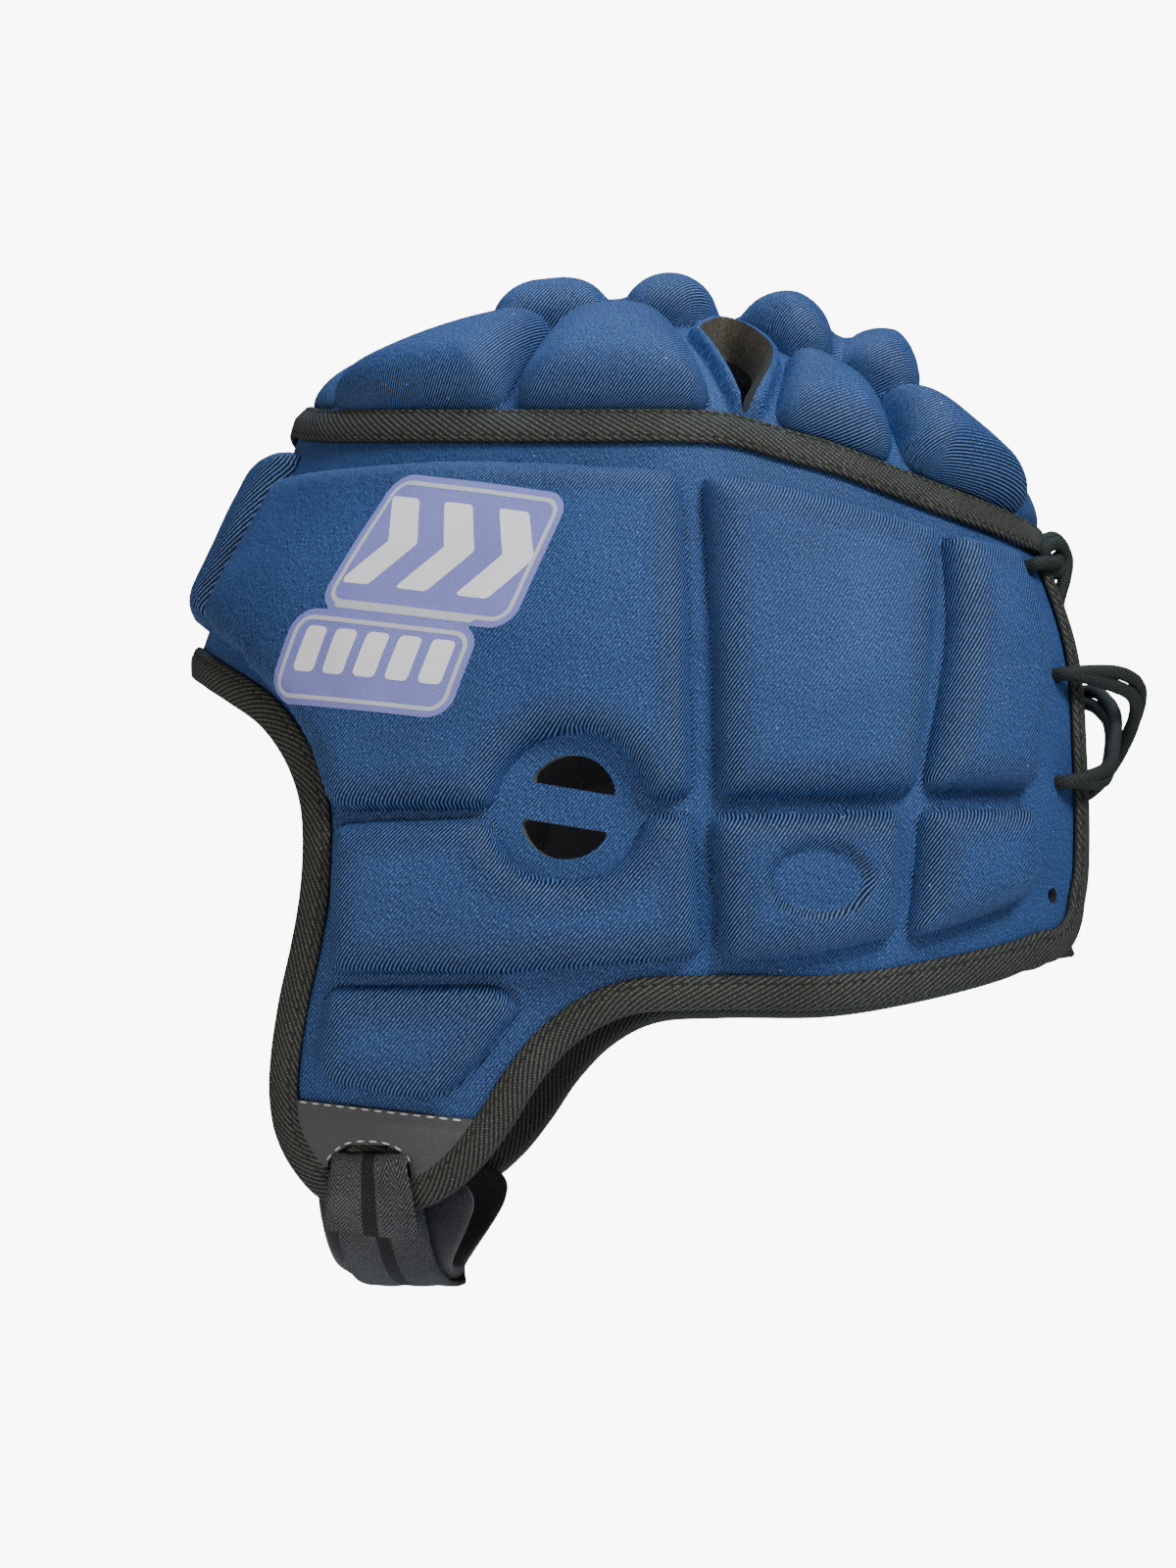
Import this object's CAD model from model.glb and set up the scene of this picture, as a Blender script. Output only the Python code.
"""Soft shell football helmet: knit, tape, coated cloth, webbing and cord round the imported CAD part.

Sizes are in millimetres in the row frame, and every mesh is written in metres. The wearer faces -Y,
+X is the wearer's left, and the origin is the inner top of the crown.
"""

import logging
import math
from dataclasses import dataclass, field
from enum import Enum
from functools import partial
from typing import Callable

import bmesh
import bpy
import numpy as np
from mathutils import Matrix, Vector, noise

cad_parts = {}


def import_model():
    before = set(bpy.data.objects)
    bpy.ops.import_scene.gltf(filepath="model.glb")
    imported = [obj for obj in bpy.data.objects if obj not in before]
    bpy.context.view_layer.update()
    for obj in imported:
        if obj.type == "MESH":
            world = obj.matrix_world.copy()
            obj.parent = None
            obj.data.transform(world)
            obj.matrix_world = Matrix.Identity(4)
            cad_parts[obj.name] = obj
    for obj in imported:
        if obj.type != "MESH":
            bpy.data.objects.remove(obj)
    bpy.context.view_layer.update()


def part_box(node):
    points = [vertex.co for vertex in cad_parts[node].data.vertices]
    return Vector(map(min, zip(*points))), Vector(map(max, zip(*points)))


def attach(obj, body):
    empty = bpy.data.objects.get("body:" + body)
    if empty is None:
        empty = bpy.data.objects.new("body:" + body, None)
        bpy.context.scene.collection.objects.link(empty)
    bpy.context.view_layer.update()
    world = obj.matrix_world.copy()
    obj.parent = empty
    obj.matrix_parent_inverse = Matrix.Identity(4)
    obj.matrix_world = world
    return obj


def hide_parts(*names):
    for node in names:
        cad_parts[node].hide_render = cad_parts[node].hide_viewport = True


LOG = logging.getLogger("helmet")
MM = 0.001
# Further out than any piece, in millimetres
FAR = 300.0
MATH = "ShaderNodeMath"
# Lint on the knit: the spacing of places for a speck in millimetres, a speck's share of that, and how
# many places hold one
LINT_SPACING = 4.0
LINT_SIZE = 0.055
LINT_SHARE = 0.1
LINT_COLOUR = 0xC9D2E0
Field = Callable[[np.ndarray], np.ndarray]
Rows = tuple[tuple[float, ...], ...]


# Tables and outlines


class Table:
    """A smooth curve through rows of numbers, read at any value of its first column."""

    def __init__(self, rows: Rows, column: int = 1) -> None:
        """Keeps the first column as keys and one other column as values.

        Args:
            rows: the table's rows, in rising order of the first column.
            column: the column that is read.
        """
        self.keys = np.array([row[0] for row in rows], float)
        self.values = np.array([row[column] for row in rows], float)

    def read(self, at: np.ndarray) -> np.ndarray:
        """Reads the curve.

        Args:
            at: values of the first column.

        Returns:
            The curve's value at each of them, held at both ends.
        """
        keys, values = self.keys, self.values
        last = len(keys) - 1
        x = np.clip(at, keys[0], keys[last])
        i = np.clip(np.searchsorted(keys, x, side="right") - 1, 0, last - 1)
        before = np.maximum(i - 1, 0)
        after = np.minimum(i + 2, last)
        width = keys[i + 1] - keys[i]
        u = (x - keys[i]) / width
        start = (values[i + 1] - values[before]) / (keys[i + 1] - keys[before]) * width
        end = (values[after] - values[i]) / (keys[after] - keys[i]) * width
        return (
            values[i] * (2 * u**3 - 3 * u**2 + 1)
            + start * (u**3 - 2 * u**2 + u)
            + values[i + 1] * (3 * u**2 - 2 * u**3)
            + end * (u**3 - u**2)
        )


def inside_side(side: np.ndarray, x: np.ndarray, y: np.ndarray) -> np.ndarray:
    """Distance inside one side of a pad, whose end stretches run on without end.

    Args:
        side: the side's corners, clockwise round the pad as seen from outside.
        x: places along the first axis.
        y: places along the second axis.

    Returns:
        The distance of each place, above 0 on the pad's own side.
    """
    nearest = np.full(len(x), np.inf)
    inside = np.zeros(len(x))
    for i in range(len(side) - 1):
        ax, ay = side[i]
        dx, dy = side[i + 1] - side[i]
        u = ((x - ax) * dx + (y - ay) * dy) / (dx**2 + dy**2)
        if i > 0:
            u = np.maximum(u, 0)
        if i + 2 < len(side):
            u = np.minimum(u, 1)
        away = np.hypot(x - ax - u * dx, y - ay - u * dy)
        better = away < nearest - 1e-9
        nearest = np.where(better, away, nearest)
        turn = np.sign((x - ax) * dy - (y - ay) * dx)
        inside = np.where(better, turn * away, inside)
    return inside


def rounded_inside(distances: list[np.ndarray], corner: float, power: float = 2.0) -> np.ndarray:
    """Distance inside several sides at once, with the corners between them rounded.

    Args:
        distances: the distance inside each side.
        corner: how far from a corner the rounding starts.
        power: 2 for round corners, more for tighter ones.

    Returns:
        The distance inside the rounded outline.
    """
    total = sum(np.maximum(corner - d, 0) ** power for d in distances)
    least = np.minimum.reduce(distances)
    return np.where(least > corner, least, corner - total ** (1 / power))


def outline_distance(outline: np.ndarray, x: np.ndarray, y: np.ndarray) -> np.ndarray:
    """Signed distance to a closed outline.

    Args:
        outline: the outline's corners in order.
        x: places along the first axis.
        y: places along the second axis.

    Returns:
        The distance of each place, above 0 inside the outline.
    """
    nearest = np.full(len(x), np.inf)
    inside = np.zeros(len(x), bool)
    for a, b in zip(outline, np.roll(outline, -1, axis=0)):
        dx, dy = b - a
        long = dx**2 + dy**2
        if long < 1e-12:
            continue
        u = np.clip(((x - a[0]) * dx + (y - a[1]) * dy) / long, 0, 1)
        nearest = np.minimum(nearest, np.hypot(x - a[0] - u * dx, y - a[1] - u * dy))
        if dy != 0:
            crosses = (a[1] > y) != (b[1] > y)
            inside ^= crosses & (x < a[0] + (y - a[1]) / dy * dx)
    return np.where(inside, nearest, -nearest)


def smooth_line(points: np.ndarray, spacing: float) -> np.ndarray:
    """A smooth line through points, sampled evenly.

    Args:
        points: the points that the line goes through, in order.
        spacing: the distance between samples.

    Returns:
        The samples in order, with both end points.
    """
    points = np.asarray(points, float)
    ends = [2 * points[0] - points[1], *points, 2 * points[-1] - points[-2]]
    line = [points[0]]
    for p0, p1, p2, p3 in zip(ends, ends[1:], ends[2:], ends[3:]):
        k = [0.0]
        for a, b in ((p0, p1), (p1, p2), (p2, p3)):
            k.append(k[-1] + max(np.linalg.norm(b - a), 1e-6) ** 0.5)
        for t in np.linspace(k[1], k[2], 13)[1:]:
            a1 = (k[1] - t) / (k[1] - k[0]) * p0 + (t - k[0]) / (k[1] - k[0]) * p1
            a2 = (k[2] - t) / (k[2] - k[1]) * p1 + (t - k[1]) / (k[2] - k[1]) * p2
            a3 = (k[3] - t) / (k[3] - k[2]) * p2 + (t - k[2]) / (k[3] - k[2]) * p3
            b1 = (k[2] - t) / (k[2] - k[0]) * a1 + (t - k[0]) / (k[2] - k[0]) * a2
            b2 = (k[3] - t) / (k[3] - k[1]) * a2 + (t - k[1]) / (k[3] - k[1]) * a3
            line.append((k[2] - t) / (k[2] - k[1]) * b1 + (t - k[1]) / (k[2] - k[1]) * b2)
    return resampled(np.array(line), spacing)


def resampled(line: np.ndarray, spacing: float) -> np.ndarray:
    """Samples a line of points evenly by its length.

    Args:
        line: the points in order.
        spacing: the distance between samples.

    Returns:
        The samples in order, with both end points.
    """
    steps = np.linalg.norm(np.diff(line, axis=0), axis=1)
    at = np.concatenate([[0], np.cumsum(steps)])
    count = max(int(round(at[-1] / spacing)), 2)
    wanted = np.linspace(0, at[-1], count + 1)
    return np.stack([np.interp(wanted, at, line[:, k]) for k in range(line.shape[1])], axis=1)


def unit(v: np.ndarray) -> np.ndarray:
    """Rows of vectors at length 1."""
    return v / np.maximum(np.linalg.norm(v, axis=-1, keepdims=True), 1e-12)


# The head form that every sewn piece follows


@dataclass(frozen=True)
class HeadForm:
    """The base surface of the helmet, before its padding.

    Each level is a closed oval, wider at the jaw and round at the back. The tables give shares of
    the named sizes.
    """

    depth: float = 250.0
    front_reach: float = 124.0
    back_reach: float = 127.0
    half_width: float = 88.0
    widest_y: float = 5.0
    front_power: float = 2.3
    back_power: float = 1.8
    wall: float = 4.0
    crown_rise: float = 0.016
    dome_power: float = 2.2
    dome_round: float = 0.8
    girth_drop: float = 0.44
    body_rows: Rows = (
        (0.0, 0.66, 0.68, 0.7), (0.08, 0.74, 0.75, 0.77), (0.15, 0.79, 0.815, 0.85),
        (0.24, 0.875, 0.885, 0.925), (0.36, 0.98, 0.968, 0.98), (0.48, 1.0, 0.992, 1.0),
        (0.6, 1.06, 1.0, 1.0), (0.72, 1.1, 0.98, 0.97), (0.84, 1.1, 0.94, 0.89), (1.0, 1.05, 0.88, 0.75),
        (1.1, 1.0, 0.84, 0.66),
    )
    seam_rows: Rows = (
        (-1.0, 0.096), (-0.76, 0.1), (-0.71, 0.116), (-0.635, 0.128), (-0.52, 0.137), (-0.31, 0.146),
        (-0.11, 0.15), (0.09, 0.151), (0.19, 0.154), (0.3, 0.168), (0.41, 0.181), (0.51, 0.197),
        (0.62, 0.213), (0.73, 0.226), (0.82, 0.236), (1.0, 0.252),
    )

    def __post_init__(self) -> None:
        """Makes the curves and the table of lengths round the oval."""
        curves = tuple(Table(self.body_rows, column) for column in (1, 2, 3))
        object.__setattr__(self, "curves", curves)
        object.__setattr__(self, "seam_curve", Table(self.seam_rows))
        turns = np.linspace(0, math.pi, 361)
        ring = self.body(turns, np.full(361, -self.girth_drop * self.depth))
        steps = np.linalg.norm(np.diff(ring, axis=0), axis=1)
        object.__setattr__(self, "turns", turns)
        object.__setattr__(self, "lengths", np.concatenate([[0], np.cumsum(steps)]))
        around = np.linspace(-math.pi, math.pi, 2161)
        object.__setattr__(self, "seam_turns", around)
        object.__setattr__(self, "seam_line", self.find_seam(around, 0.0))

    @property
    def half_girth(self) -> float:
        """The length from the brow's middle to the nape's, round one side."""
        return float(self.lengths[-1])

    def along_to_y(self, along: np.ndarray) -> np.ndarray:
        """Side view share to y."""
        front, back = self.front_reach + self.widest_y, self.back_reach - self.widest_y
        return self.widest_y + along * np.where(np.asarray(along) < 0, front, back)

    def y_to_along(self, y: np.ndarray) -> np.ndarray:
        """Side view y to its share."""
        front, back = self.front_reach + self.widest_y, self.back_reach - self.widest_y
        return (y - self.widest_y) / np.where(y < self.widest_y, front, back)

    def seam_z(self, y: np.ndarray) -> np.ndarray:
        """Height of the seam between crown and band in the side view."""
        return -self.depth * self.seam_curve.read(self.y_to_along(np.asarray(y, float)))

    def section(self, z: np.ndarray, inset: np.ndarray | float) -> tuple[np.ndarray, ...]:
        """The oval at each height.

        Args:
            z: heights.
            inset: how far inside the outer cloth.

        Returns:
            The reach to the front and to the back, and half the width.
        """
        drop = -np.asarray(z, float) / self.depth
        sizes = (self.front_reach, self.back_reach, self.half_width)
        return tuple(curve.read(drop) * size - inset for curve, size in zip(self.curves, sizes))

    def body(self, turn: np.ndarray, z: np.ndarray, inset: np.ndarray | float = 0.0) -> np.ndarray:
        """Points on the base surface.

        Args:
            turn: the angle round the oval, 0 at the front.
            z: heights.
            inset: how far inside the outer cloth.

        Returns:
            One point a row.
        """
        front, back, half = self.section(z, inset)
        c, s = np.cos(turn), np.sin(turn)
        reach = np.where(c > 0, front + self.widest_y, back - self.widest_y)
        power = 2 / np.where(c > 0, self.front_power, self.back_power)
        x = np.sign(s) * half * np.abs(s) ** power
        y = self.widest_y - np.sign(c) * reach * np.abs(c) ** power
        return np.stack([x, y, np.broadcast_to(z, x.shape)], axis=-1)

    def level(self, p: np.ndarray, inset: float) -> tuple[np.ndarray, ...]:
        """How far out points lie on their own oval.

        Args:
            p: points, one a row.
            inset: how far inside the outer cloth the oval is.

        Returns:
            The shares across and ahead, raised to the oval's power, and that power.
        """
        front, back, half = self.section(p[:, 2], inset)
        ahead = p[:, 1] < self.widest_y
        reach = np.where(ahead, front + self.widest_y, back - self.widest_y)
        power = np.where(ahead, self.front_power, self.back_power)
        across = (np.abs(p[:, 0]) / half) ** power
        along = (np.abs(p[:, 1] - self.widest_y) / reach) ** power
        return across, along, power

    def on_surface(self, p: np.ndarray, inset: float) -> np.ndarray:
        """Points moved level to the surface."""
        across, along, power = self.level(p, inset)
        out = (across + along) ** (1 / power)
        moved = p.copy()
        moved[:, 0] = p[:, 0] / out
        moved[:, 1] = self.widest_y + (p[:, 1] - self.widest_y) / out
        return moved

    def side_x(self, y: float, z: float) -> float:
        """The x of the outer surface on the wearer's left, at a place in the side view."""
        _, along, power = self.level(np.array([[0.0, y, z]]), 0.0)
        _, _, half = self.section(np.array([z]), 0.0)
        return float(half[0] * (1 - along[0]) ** (1 / power[0]))

    def turn_of(self, p: np.ndarray) -> np.ndarray:
        """The angle round the oval of points on it."""
        across, along, _ = self.level(p, 0.0)
        ahead = np.where(p[:, 1] < self.widest_y, 1.0, -1.0)
        angle = np.arctan2(np.sqrt(across), ahead * np.sqrt(along))
        return np.where(p[:, 0] < 0, -angle, angle)

    def length_at(self, turn: np.ndarray) -> np.ndarray:
        """Length round the panel from the brow's middle."""
        return np.sign(turn) * np.interp(np.abs(turn), self.turns, self.lengths)

    def turn_at(self, length: np.ndarray) -> np.ndarray:
        """Angle round the oval at a length from the brow's middle."""
        return np.sign(length) * np.interp(np.abs(length), self.lengths, self.turns)

    def panel(self, s: np.ndarray, z: np.ndarray, inset: np.ndarray | float = 0.0) -> np.ndarray:
        """Points of the band's flat panel laid on the surface."""
        return self.body(self.turn_at(s), z, inset)

    def panel_normal(self, s: np.ndarray, z: np.ndarray) -> np.ndarray:
        """Outward direction at places of the band's flat panel."""
        d = 0.5
        side = self.panel(s + d, z) - self.panel(s - d, z)
        rise = self.panel(s, z + d) - self.panel(s, z - d)
        return unit(np.cross(side, rise))

    def normal(self, p: np.ndarray) -> np.ndarray:
        """Outward direction at points near the surface."""
        return self.panel_normal(self.length_at(self.turn_of(p)), p[:, 2])

    def seam(self, turn: np.ndarray, inset: np.ndarray | float = 0.0) -> np.ndarray:
        """The seam between crown and band as points round the body."""
        if np.all(np.asarray(inset) == 0):
            columns = [np.interp(turn, self.seam_turns, self.seam_line[:, k]) for k in range(3)]
            return np.stack(columns, axis=-1)
        return self.find_seam(turn, inset)

    def find_seam(self, turn: np.ndarray, inset: np.ndarray | float) -> np.ndarray:
        """The seam's points, found in a few steps because its height depends on how far back it is."""
        z = np.full(np.shape(turn), -0.15 * self.depth)
        p = self.body(turn, z, inset)
        for _ in range(12):
            p = self.body(turn, self.seam_z(p[..., 1]), inset)
        return p

    def dome(self, rho: np.ndarray, turn: np.ndarray, inset: np.ndarray | float = 0.0) -> np.ndarray:
        """Points on the crown's dome, from its top at rho 0 to the seam at rho 1."""
        rim = self.seam(turn, inset)
        top = self.crown_rise * self.depth - inset
        rise = np.maximum(1 - rho**self.dome_power, 0) ** self.dome_round
        x = rho * rim[..., 0]
        y = self.widest_y + rho * (rim[..., 1] - self.widest_y)
        return np.stack([x, y, rim[..., 2] + (top - rim[..., 2]) * rise], axis=-1)

    def dome_length(self, rho: np.ndarray, turn: np.ndarray) -> np.ndarray:
        """Length down the dome from its top."""
        rim = self.seam(turn)
        wide = np.hypot(rim[:, 0], rim[:, 1] - self.widest_y)
        high = self.crown_rise * self.depth - rim[:, 2]
        total = np.zeros(len(rho))
        last = np.ones(len(rho))
        for k in range(1, 17):
            rise = np.maximum(1 - (rho * k / 16) ** self.dome_power, 0) ** self.dome_round
            total += np.hypot(rho / 16 * wide, (last - rise) * high)
            last = rise
        return total

    def disc(self, u: np.ndarray, v: np.ndarray) -> tuple[np.ndarray, np.ndarray]:
        """A square from -1 to 1 bent to a disc: the share of the way out, and the angle."""
        x = u * np.sqrt(1 - v * v / 2)
        y = v * np.sqrt(1 - u * u / 2)
        return np.minimum(np.hypot(x, y), 1), np.arctan2(x, -y)

    def crown(self, u: np.ndarray, v: np.ndarray, inset: np.ndarray | float = 0.0) -> np.ndarray:
        """Points on the dome from the square."""
        rho, turn = self.disc(u, v)
        return self.dome(rho, turn, inset)

    def crown_normal(self, u: np.ndarray, v: np.ndarray) -> np.ndarray:
        """Outward direction on the dome."""
        d = 0.01
        u = np.clip(u, -0.985, 0.985)
        v = np.clip(v, -0.985, 0.985)
        side = self.crown(u + d, v) - self.crown(u - d, v)
        ahead = self.crown(u, v + d) - self.crown(u, v - d)
        return unit(np.cross(side, ahead))


# Mesh tools


def flat_grid(low: tuple[float, float], high: tuple[float, float], cell: float) -> bmesh.types.BMesh:
    """A flat grid of squares.

    Args:
        low: its lowest corner.
        high: its highest corner.
        cell: the size of a square.

    Returns:
        A new mesh at height 0, facing up.
    """
    bm = bmesh.new()
    steps = [max(int(round((b - a) / cell)), 1) for a, b in zip(low, high)]
    bmesh.ops.create_grid(bm, x_segments=steps[0], y_segments=steps[1], size=1.0)
    for vert in bm.verts:
        vert.co.x = low[0] + (high[0] - low[0]) * (vert.co.x + 1) / 2
        vert.co.y = low[1] + (high[1] - low[1]) * (vert.co.y + 1) / 2
    return bm


def gather(bm: bmesh.types.BMesh, inside: Field, reach: float, pull: float = 1.6) -> None:
    """Moves vertices just inside a line closer to it, so that a steep wall there gets more rows.

    Args:
        bm: the flat grid.
        inside: the distance inside the line in millimetres, read at rows of flat places.
        reach: how far inside the line vertices still move.
        pull: how much closer the nearest ones get.
    """
    flat = np.array([vert.co[:2] for vert in bm.verts])
    step = 1e-4 * float(np.ptp(flat[:, 0]))
    depth = inside(flat)
    slope = np.stack([inside(flat + [step, 0]) - depth, inside(flat + [0, step]) - depth], axis=1) / step
    steep = np.sum(slope**2, axis=1)
    wanted = reach * np.clip(depth / reach, 0, 1) ** pull
    moves = (depth > 0) & (depth < reach) & (steep > 1e-9)
    shift = slope / np.maximum(steep, 1e-9)[:, None] * (wanted - depth)[:, None]
    size = np.linalg.norm(shift, axis=1)
    longest = 0.4 * min(edge.calc_length() for edge in bm.edges[:50])
    shift = shift * np.minimum(1, longest / np.maximum(size, 1e-12))[:, None]
    flat = np.where(moves[:, None], flat + shift, flat)
    for vert, place in zip(bm.verts, flat):
        vert.co.x, vert.co.y = place


def trace_line(bm: bmesh.types.BMesh, inside: Field) -> np.ndarray:
    """Makes edges of a flat grid run along the line where a field is 0.

    The nearer end of each edge that crosses the line moves onto it, so the line is smooth.

    Args:
        bm: the grid.
        inside: the field, read at rows of flat places.

    Returns:
        The field's sign at every vertex, 0 on the line.
    """
    bm.verts.index_update()
    verts = list(bm.verts)
    flat = np.array([vert.co[:2] for vert in verts])
    value = inside(flat)
    ends = np.array([[vert.index for vert in edge.verts] for edge in bm.edges])
    a, b = ends[:, 0], ends[:, 1]
    crosses = value[a] * value[b] < 0
    a, b = a[crosses], b[crosses]
    share = value[a] / (value[a] - value[b])
    place = flat[a] + share[:, None] * (flat[b] - flat[a])
    near = np.where(share < 0.5, a, b)
    order = np.argsort(-np.minimum(share, 1 - share))
    flat[near[order]] = place[order]
    state = np.sign(value)
    state[near] = 0
    for i in set(near.tolist()):
        verts[i].co.x, verts[i].co.y = flat[i]
    mixed = []
    for face in bm.faces:
        signs = [state[vert.index] for vert in face.verts]
        if min(signs) < 0 < max(signs):
            mixed.append((face, [vert for vert in face.verts if state[vert.index] == 0]))
    for face, middle in mixed:
        if len(middle) == 2:
            bmesh.utils.face_split(face, middle[0], middle[1])
    return state


def crease_sheet(bm: bmesh.types.BMesh, inside: Field) -> None:
    """Puts a sharp crease along the line where a field is 0."""
    state = trace_line(bm, inside)
    for edge in bm.edges:
        if all(state[vert.index] == 0 for vert in edge.verts):
            edge.smooth = False


def cut_sheet(bm: bmesh.types.BMesh, inside: Field) -> None:
    """Cuts a flat grid along the line where a field is 0, and keeps where it is above 0."""
    state = trace_line(bm, inside)
    doomed = []
    unsure = []
    for face in bm.faces:
        signs = [state[vert.index] for vert in face.verts]
        if min(signs) < 0:
            doomed.append(face)
        elif max(signs) == 0:
            unsure.append(face)
    if unsure:
        centres = np.array([face.calc_center_median()[:2] for face in unsure])
        doomed += [face for face, d in zip(unsure, inside(centres)) if d < 0]
    bmesh.ops.delete(bm, geom=doomed, context="FACES")
    loose = [vert for vert in bm.verts if not vert.link_faces]
    bmesh.ops.delete(bm, geom=loose, context="VERTS")


def thicken(bm: bmesh.types.BMesh, rim_material: int = 0) -> None:
    """Gives a flat sheet a second layer at height -1, joined to it round every edge.

    Args:
        bm: the sheet at height 0.
        rim_material: the material index of the walls between the layers.
    """
    upper = set(bm.faces)
    made = bmesh.ops.extrude_face_region(bm, geom=list(upper), use_keep_orig=True)["geom"]
    lower = set()
    for item in made:
        if isinstance(item, bmesh.types.BMVert):
            item.co.z = -1
        elif isinstance(item, bmesh.types.BMFace):
            lower.add(item)
    for face in bm.faces:
        if face not in upper and face not in lower:
            face.material_index = rim_material
            for edge in face.edges:
                if any(other in upper or other in lower for other in edge.link_faces):
                    edge.smooth = False


def lay_uv(bm: bmesh.types.BMesh) -> None:
    """Keeps the flat layout of a mesh in millimetres as its UV map, in metres."""
    layer = bm.loops.layers.uv.new("layout")
    for face in bm.faces:
        for loop in face.loops:
            loop[layer].uv = loop.vert.co.xy * MM


def line_lining(bm: bmesh.types.BMesh, material: int) -> None:
    """Gives the lower layer of a thickened sheet its own material."""
    for face in bm.faces:
        if face.material_index == 0 and all(vert.co.z < -0.5 for vert in face.verts):
            face.material_index = material


def slope_extra(edge: float, relief: float) -> Field:
    """How much longer the cloth is over a pad's edge than its flat layout, by distance inside.

    Args:
        edge: how wide the edge is.
        relief: how high the pad is.

    Returns:
        A function from the distance inside the pad's outline to the extra length.
    """
    inside = np.linspace(0, edge, 65)
    height = relief * np.sqrt(1 - (1 - inside / edge) ** 2)
    steps = np.hypot(np.diff(inside), np.diff(height)) - np.diff(inside)
    left = np.concatenate([np.cumsum(steps[::-1])[::-1], [0]])
    return lambda depth: np.interp(depth, inside, left)


def lay_padded_uv(
    bm: bmesh.types.BMesh, pads: list[Field], extra: Field, layout: Field, follow: tuple[float, float]
) -> None:
    """Keeps the flat layout of padded cloth as its UV map, with the real length over each pad's edge.

    Args:
        bm: the mesh, still flat.
        pads: the distance inside each pad.
        extra: the extra length of cloth by distance inside a pad.
        layout: turns flat places into millimetres of cloth.
        follow: the share of the extra length that the pattern follows on each axis.
    """
    bm.verts.index_update()
    flat = np.array([vert.co[:2] for vert in bm.verts])
    base = layout(flat)
    centres = np.array([face.calc_center_median()[:2] for face in bm.faces])
    depths = np.stack([pad(centres) for pad in pads])
    owner = np.where(depths.max(axis=0) > 0, depths.argmax(axis=0), len(pads))
    step = 1e-4 * float(np.ptp(flat[:, 0]))
    places = []
    for pad in pads:
        depth = pad(flat)
        slope = np.stack([pad(flat + [step, 0]) - depth, pad(flat + [0, step]) - depth], axis=1) / step
        out = -slope / np.maximum(np.sum(slope**2, axis=1), 1e-9)[:, None]
        way = (layout(flat + 0.05 * out) - base) / 0.05
        places.append(base + np.clip(way, -2, 2) * extra(depth)[:, None] * follow)
    places.append(base)
    layer = bm.loops.layers.uv.new("layout")
    for face, k in zip(bm.faces, owner):
        for loop in face.loops:
            loop[layer].uv = places[k][loop.vert.index] * MM


def wrap(bm: bmesh.types.BMesh, place: Field, stretch: Field | None = None) -> None:
    """Moves every vertex from its flat place to its real one, and turns every face outwards.

    Args:
        bm: the flat mesh.
        place: gives points in millimetres for rows of flat places.
        stretch: gives how far the cloth is stretched there, from 0 to 1.
    """
    flat = np.array([vert.co[:] for vert in bm.verts])
    if stretch:
        layer = bm.verts.layers.float.new("stretch")
        for vert, amount in zip(bm.verts, stretch(flat)):
            vert[layer] = amount
    for vert, point in zip(bm.verts, place(flat) * MM):
        vert.co = point
    bmesh.ops.recalc_face_normals(bm, faces=bm.faces)


def cut_piece(
    low: tuple[float, float], high: tuple[float, float], cell: float, inside: Field, place: Field
) -> bmesh.types.BMesh:
    """A piece of cloth cut from a flat grid, thickened and laid in its place.

    Args:
        low: the grid's lowest corner.
        high: the grid's highest corner.
        cell: the size of a square.
        inside: above 0 where there is cloth.
        place: gives points in millimetres for rows of flat places.

    Returns:
        The mesh.
    """
    bm = flat_grid(low, high, cell)
    cut_sheet(bm, inside)
    thicken(bm)
    lay_uv(bm)
    wrap(bm, place)
    return bm


def close_up(bm: bmesh.types.BMesh) -> None:
    """Merges doubles, fills open ends and turns every face outwards."""
    bmesh.ops.remove_doubles(bm, verts=bm.verts, dist=1e-6)
    open_edges = [edge for edge in bm.edges if edge.is_boundary]
    if open_edges:
        bmesh.ops.holes_fill(bm, edges=open_edges, sides=0)
    bmesh.ops.recalc_face_normals(bm, faces=bm.faces)


def swept(line_count: int, ring_count: int) -> bmesh.types.BMesh:
    """A flat grid to wrap into a tube: x runs along it, y once round its section."""
    bm = bmesh.new()
    bmesh.ops.create_grid(bm, x_segments=line_count - 1, y_segments=ring_count, size=1.0)
    for vert in bm.verts:
        vert.co.x = round((vert.co.x + 1) / 2 * (line_count - 1))
        vert.co.y = round((vert.co.y + 1) / 2 * ring_count)
    return bm


def tube(rings: np.ndarray, along: np.ndarray, around: np.ndarray, closed: bool = False) -> bmesh.types.BMesh:
    """A closed body through rings of points.

    Args:
        rings: points as [ring, place in the ring, axis], in millimetres.
        along: length of each ring along the body.
        around: length of each place round the ring, with one more for the way back to the first.
        closed: True if the last ring joins the first.

    Returns:
        The mesh, with its lengths as UV.
    """
    if closed:
        rings = np.concatenate([rings, rings[:1]])
        along = np.append(along, 2 * along[-1] - along[-2])
    count, size = rings.shape[:2]
    bm = swept(count, size)
    layer = bm.loops.layers.uv.new("layout")
    for face in bm.faces:
        for loop in face.loops:
            i, j = int(loop.vert.co.x), int(loop.vert.co.y)
            loop[layer].uv = (along[i] * MM, around[j] * MM)
    for vert in bm.verts:
        i, j = int(vert.co.x), int(vert.co.y)
        vert.co = rings[i, j % size] * MM
    close_up(bm)
    return bm


def lengths_along(points: np.ndarray) -> np.ndarray:
    """Length along a line at each of its points."""
    return np.concatenate([[0], np.cumsum(np.linalg.norm(np.diff(points, axis=0), axis=1))])


def tangents_of(points: np.ndarray) -> np.ndarray:
    """Direction of a line at each of its points."""
    return unit(np.gradient(points, axis=0))


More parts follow.
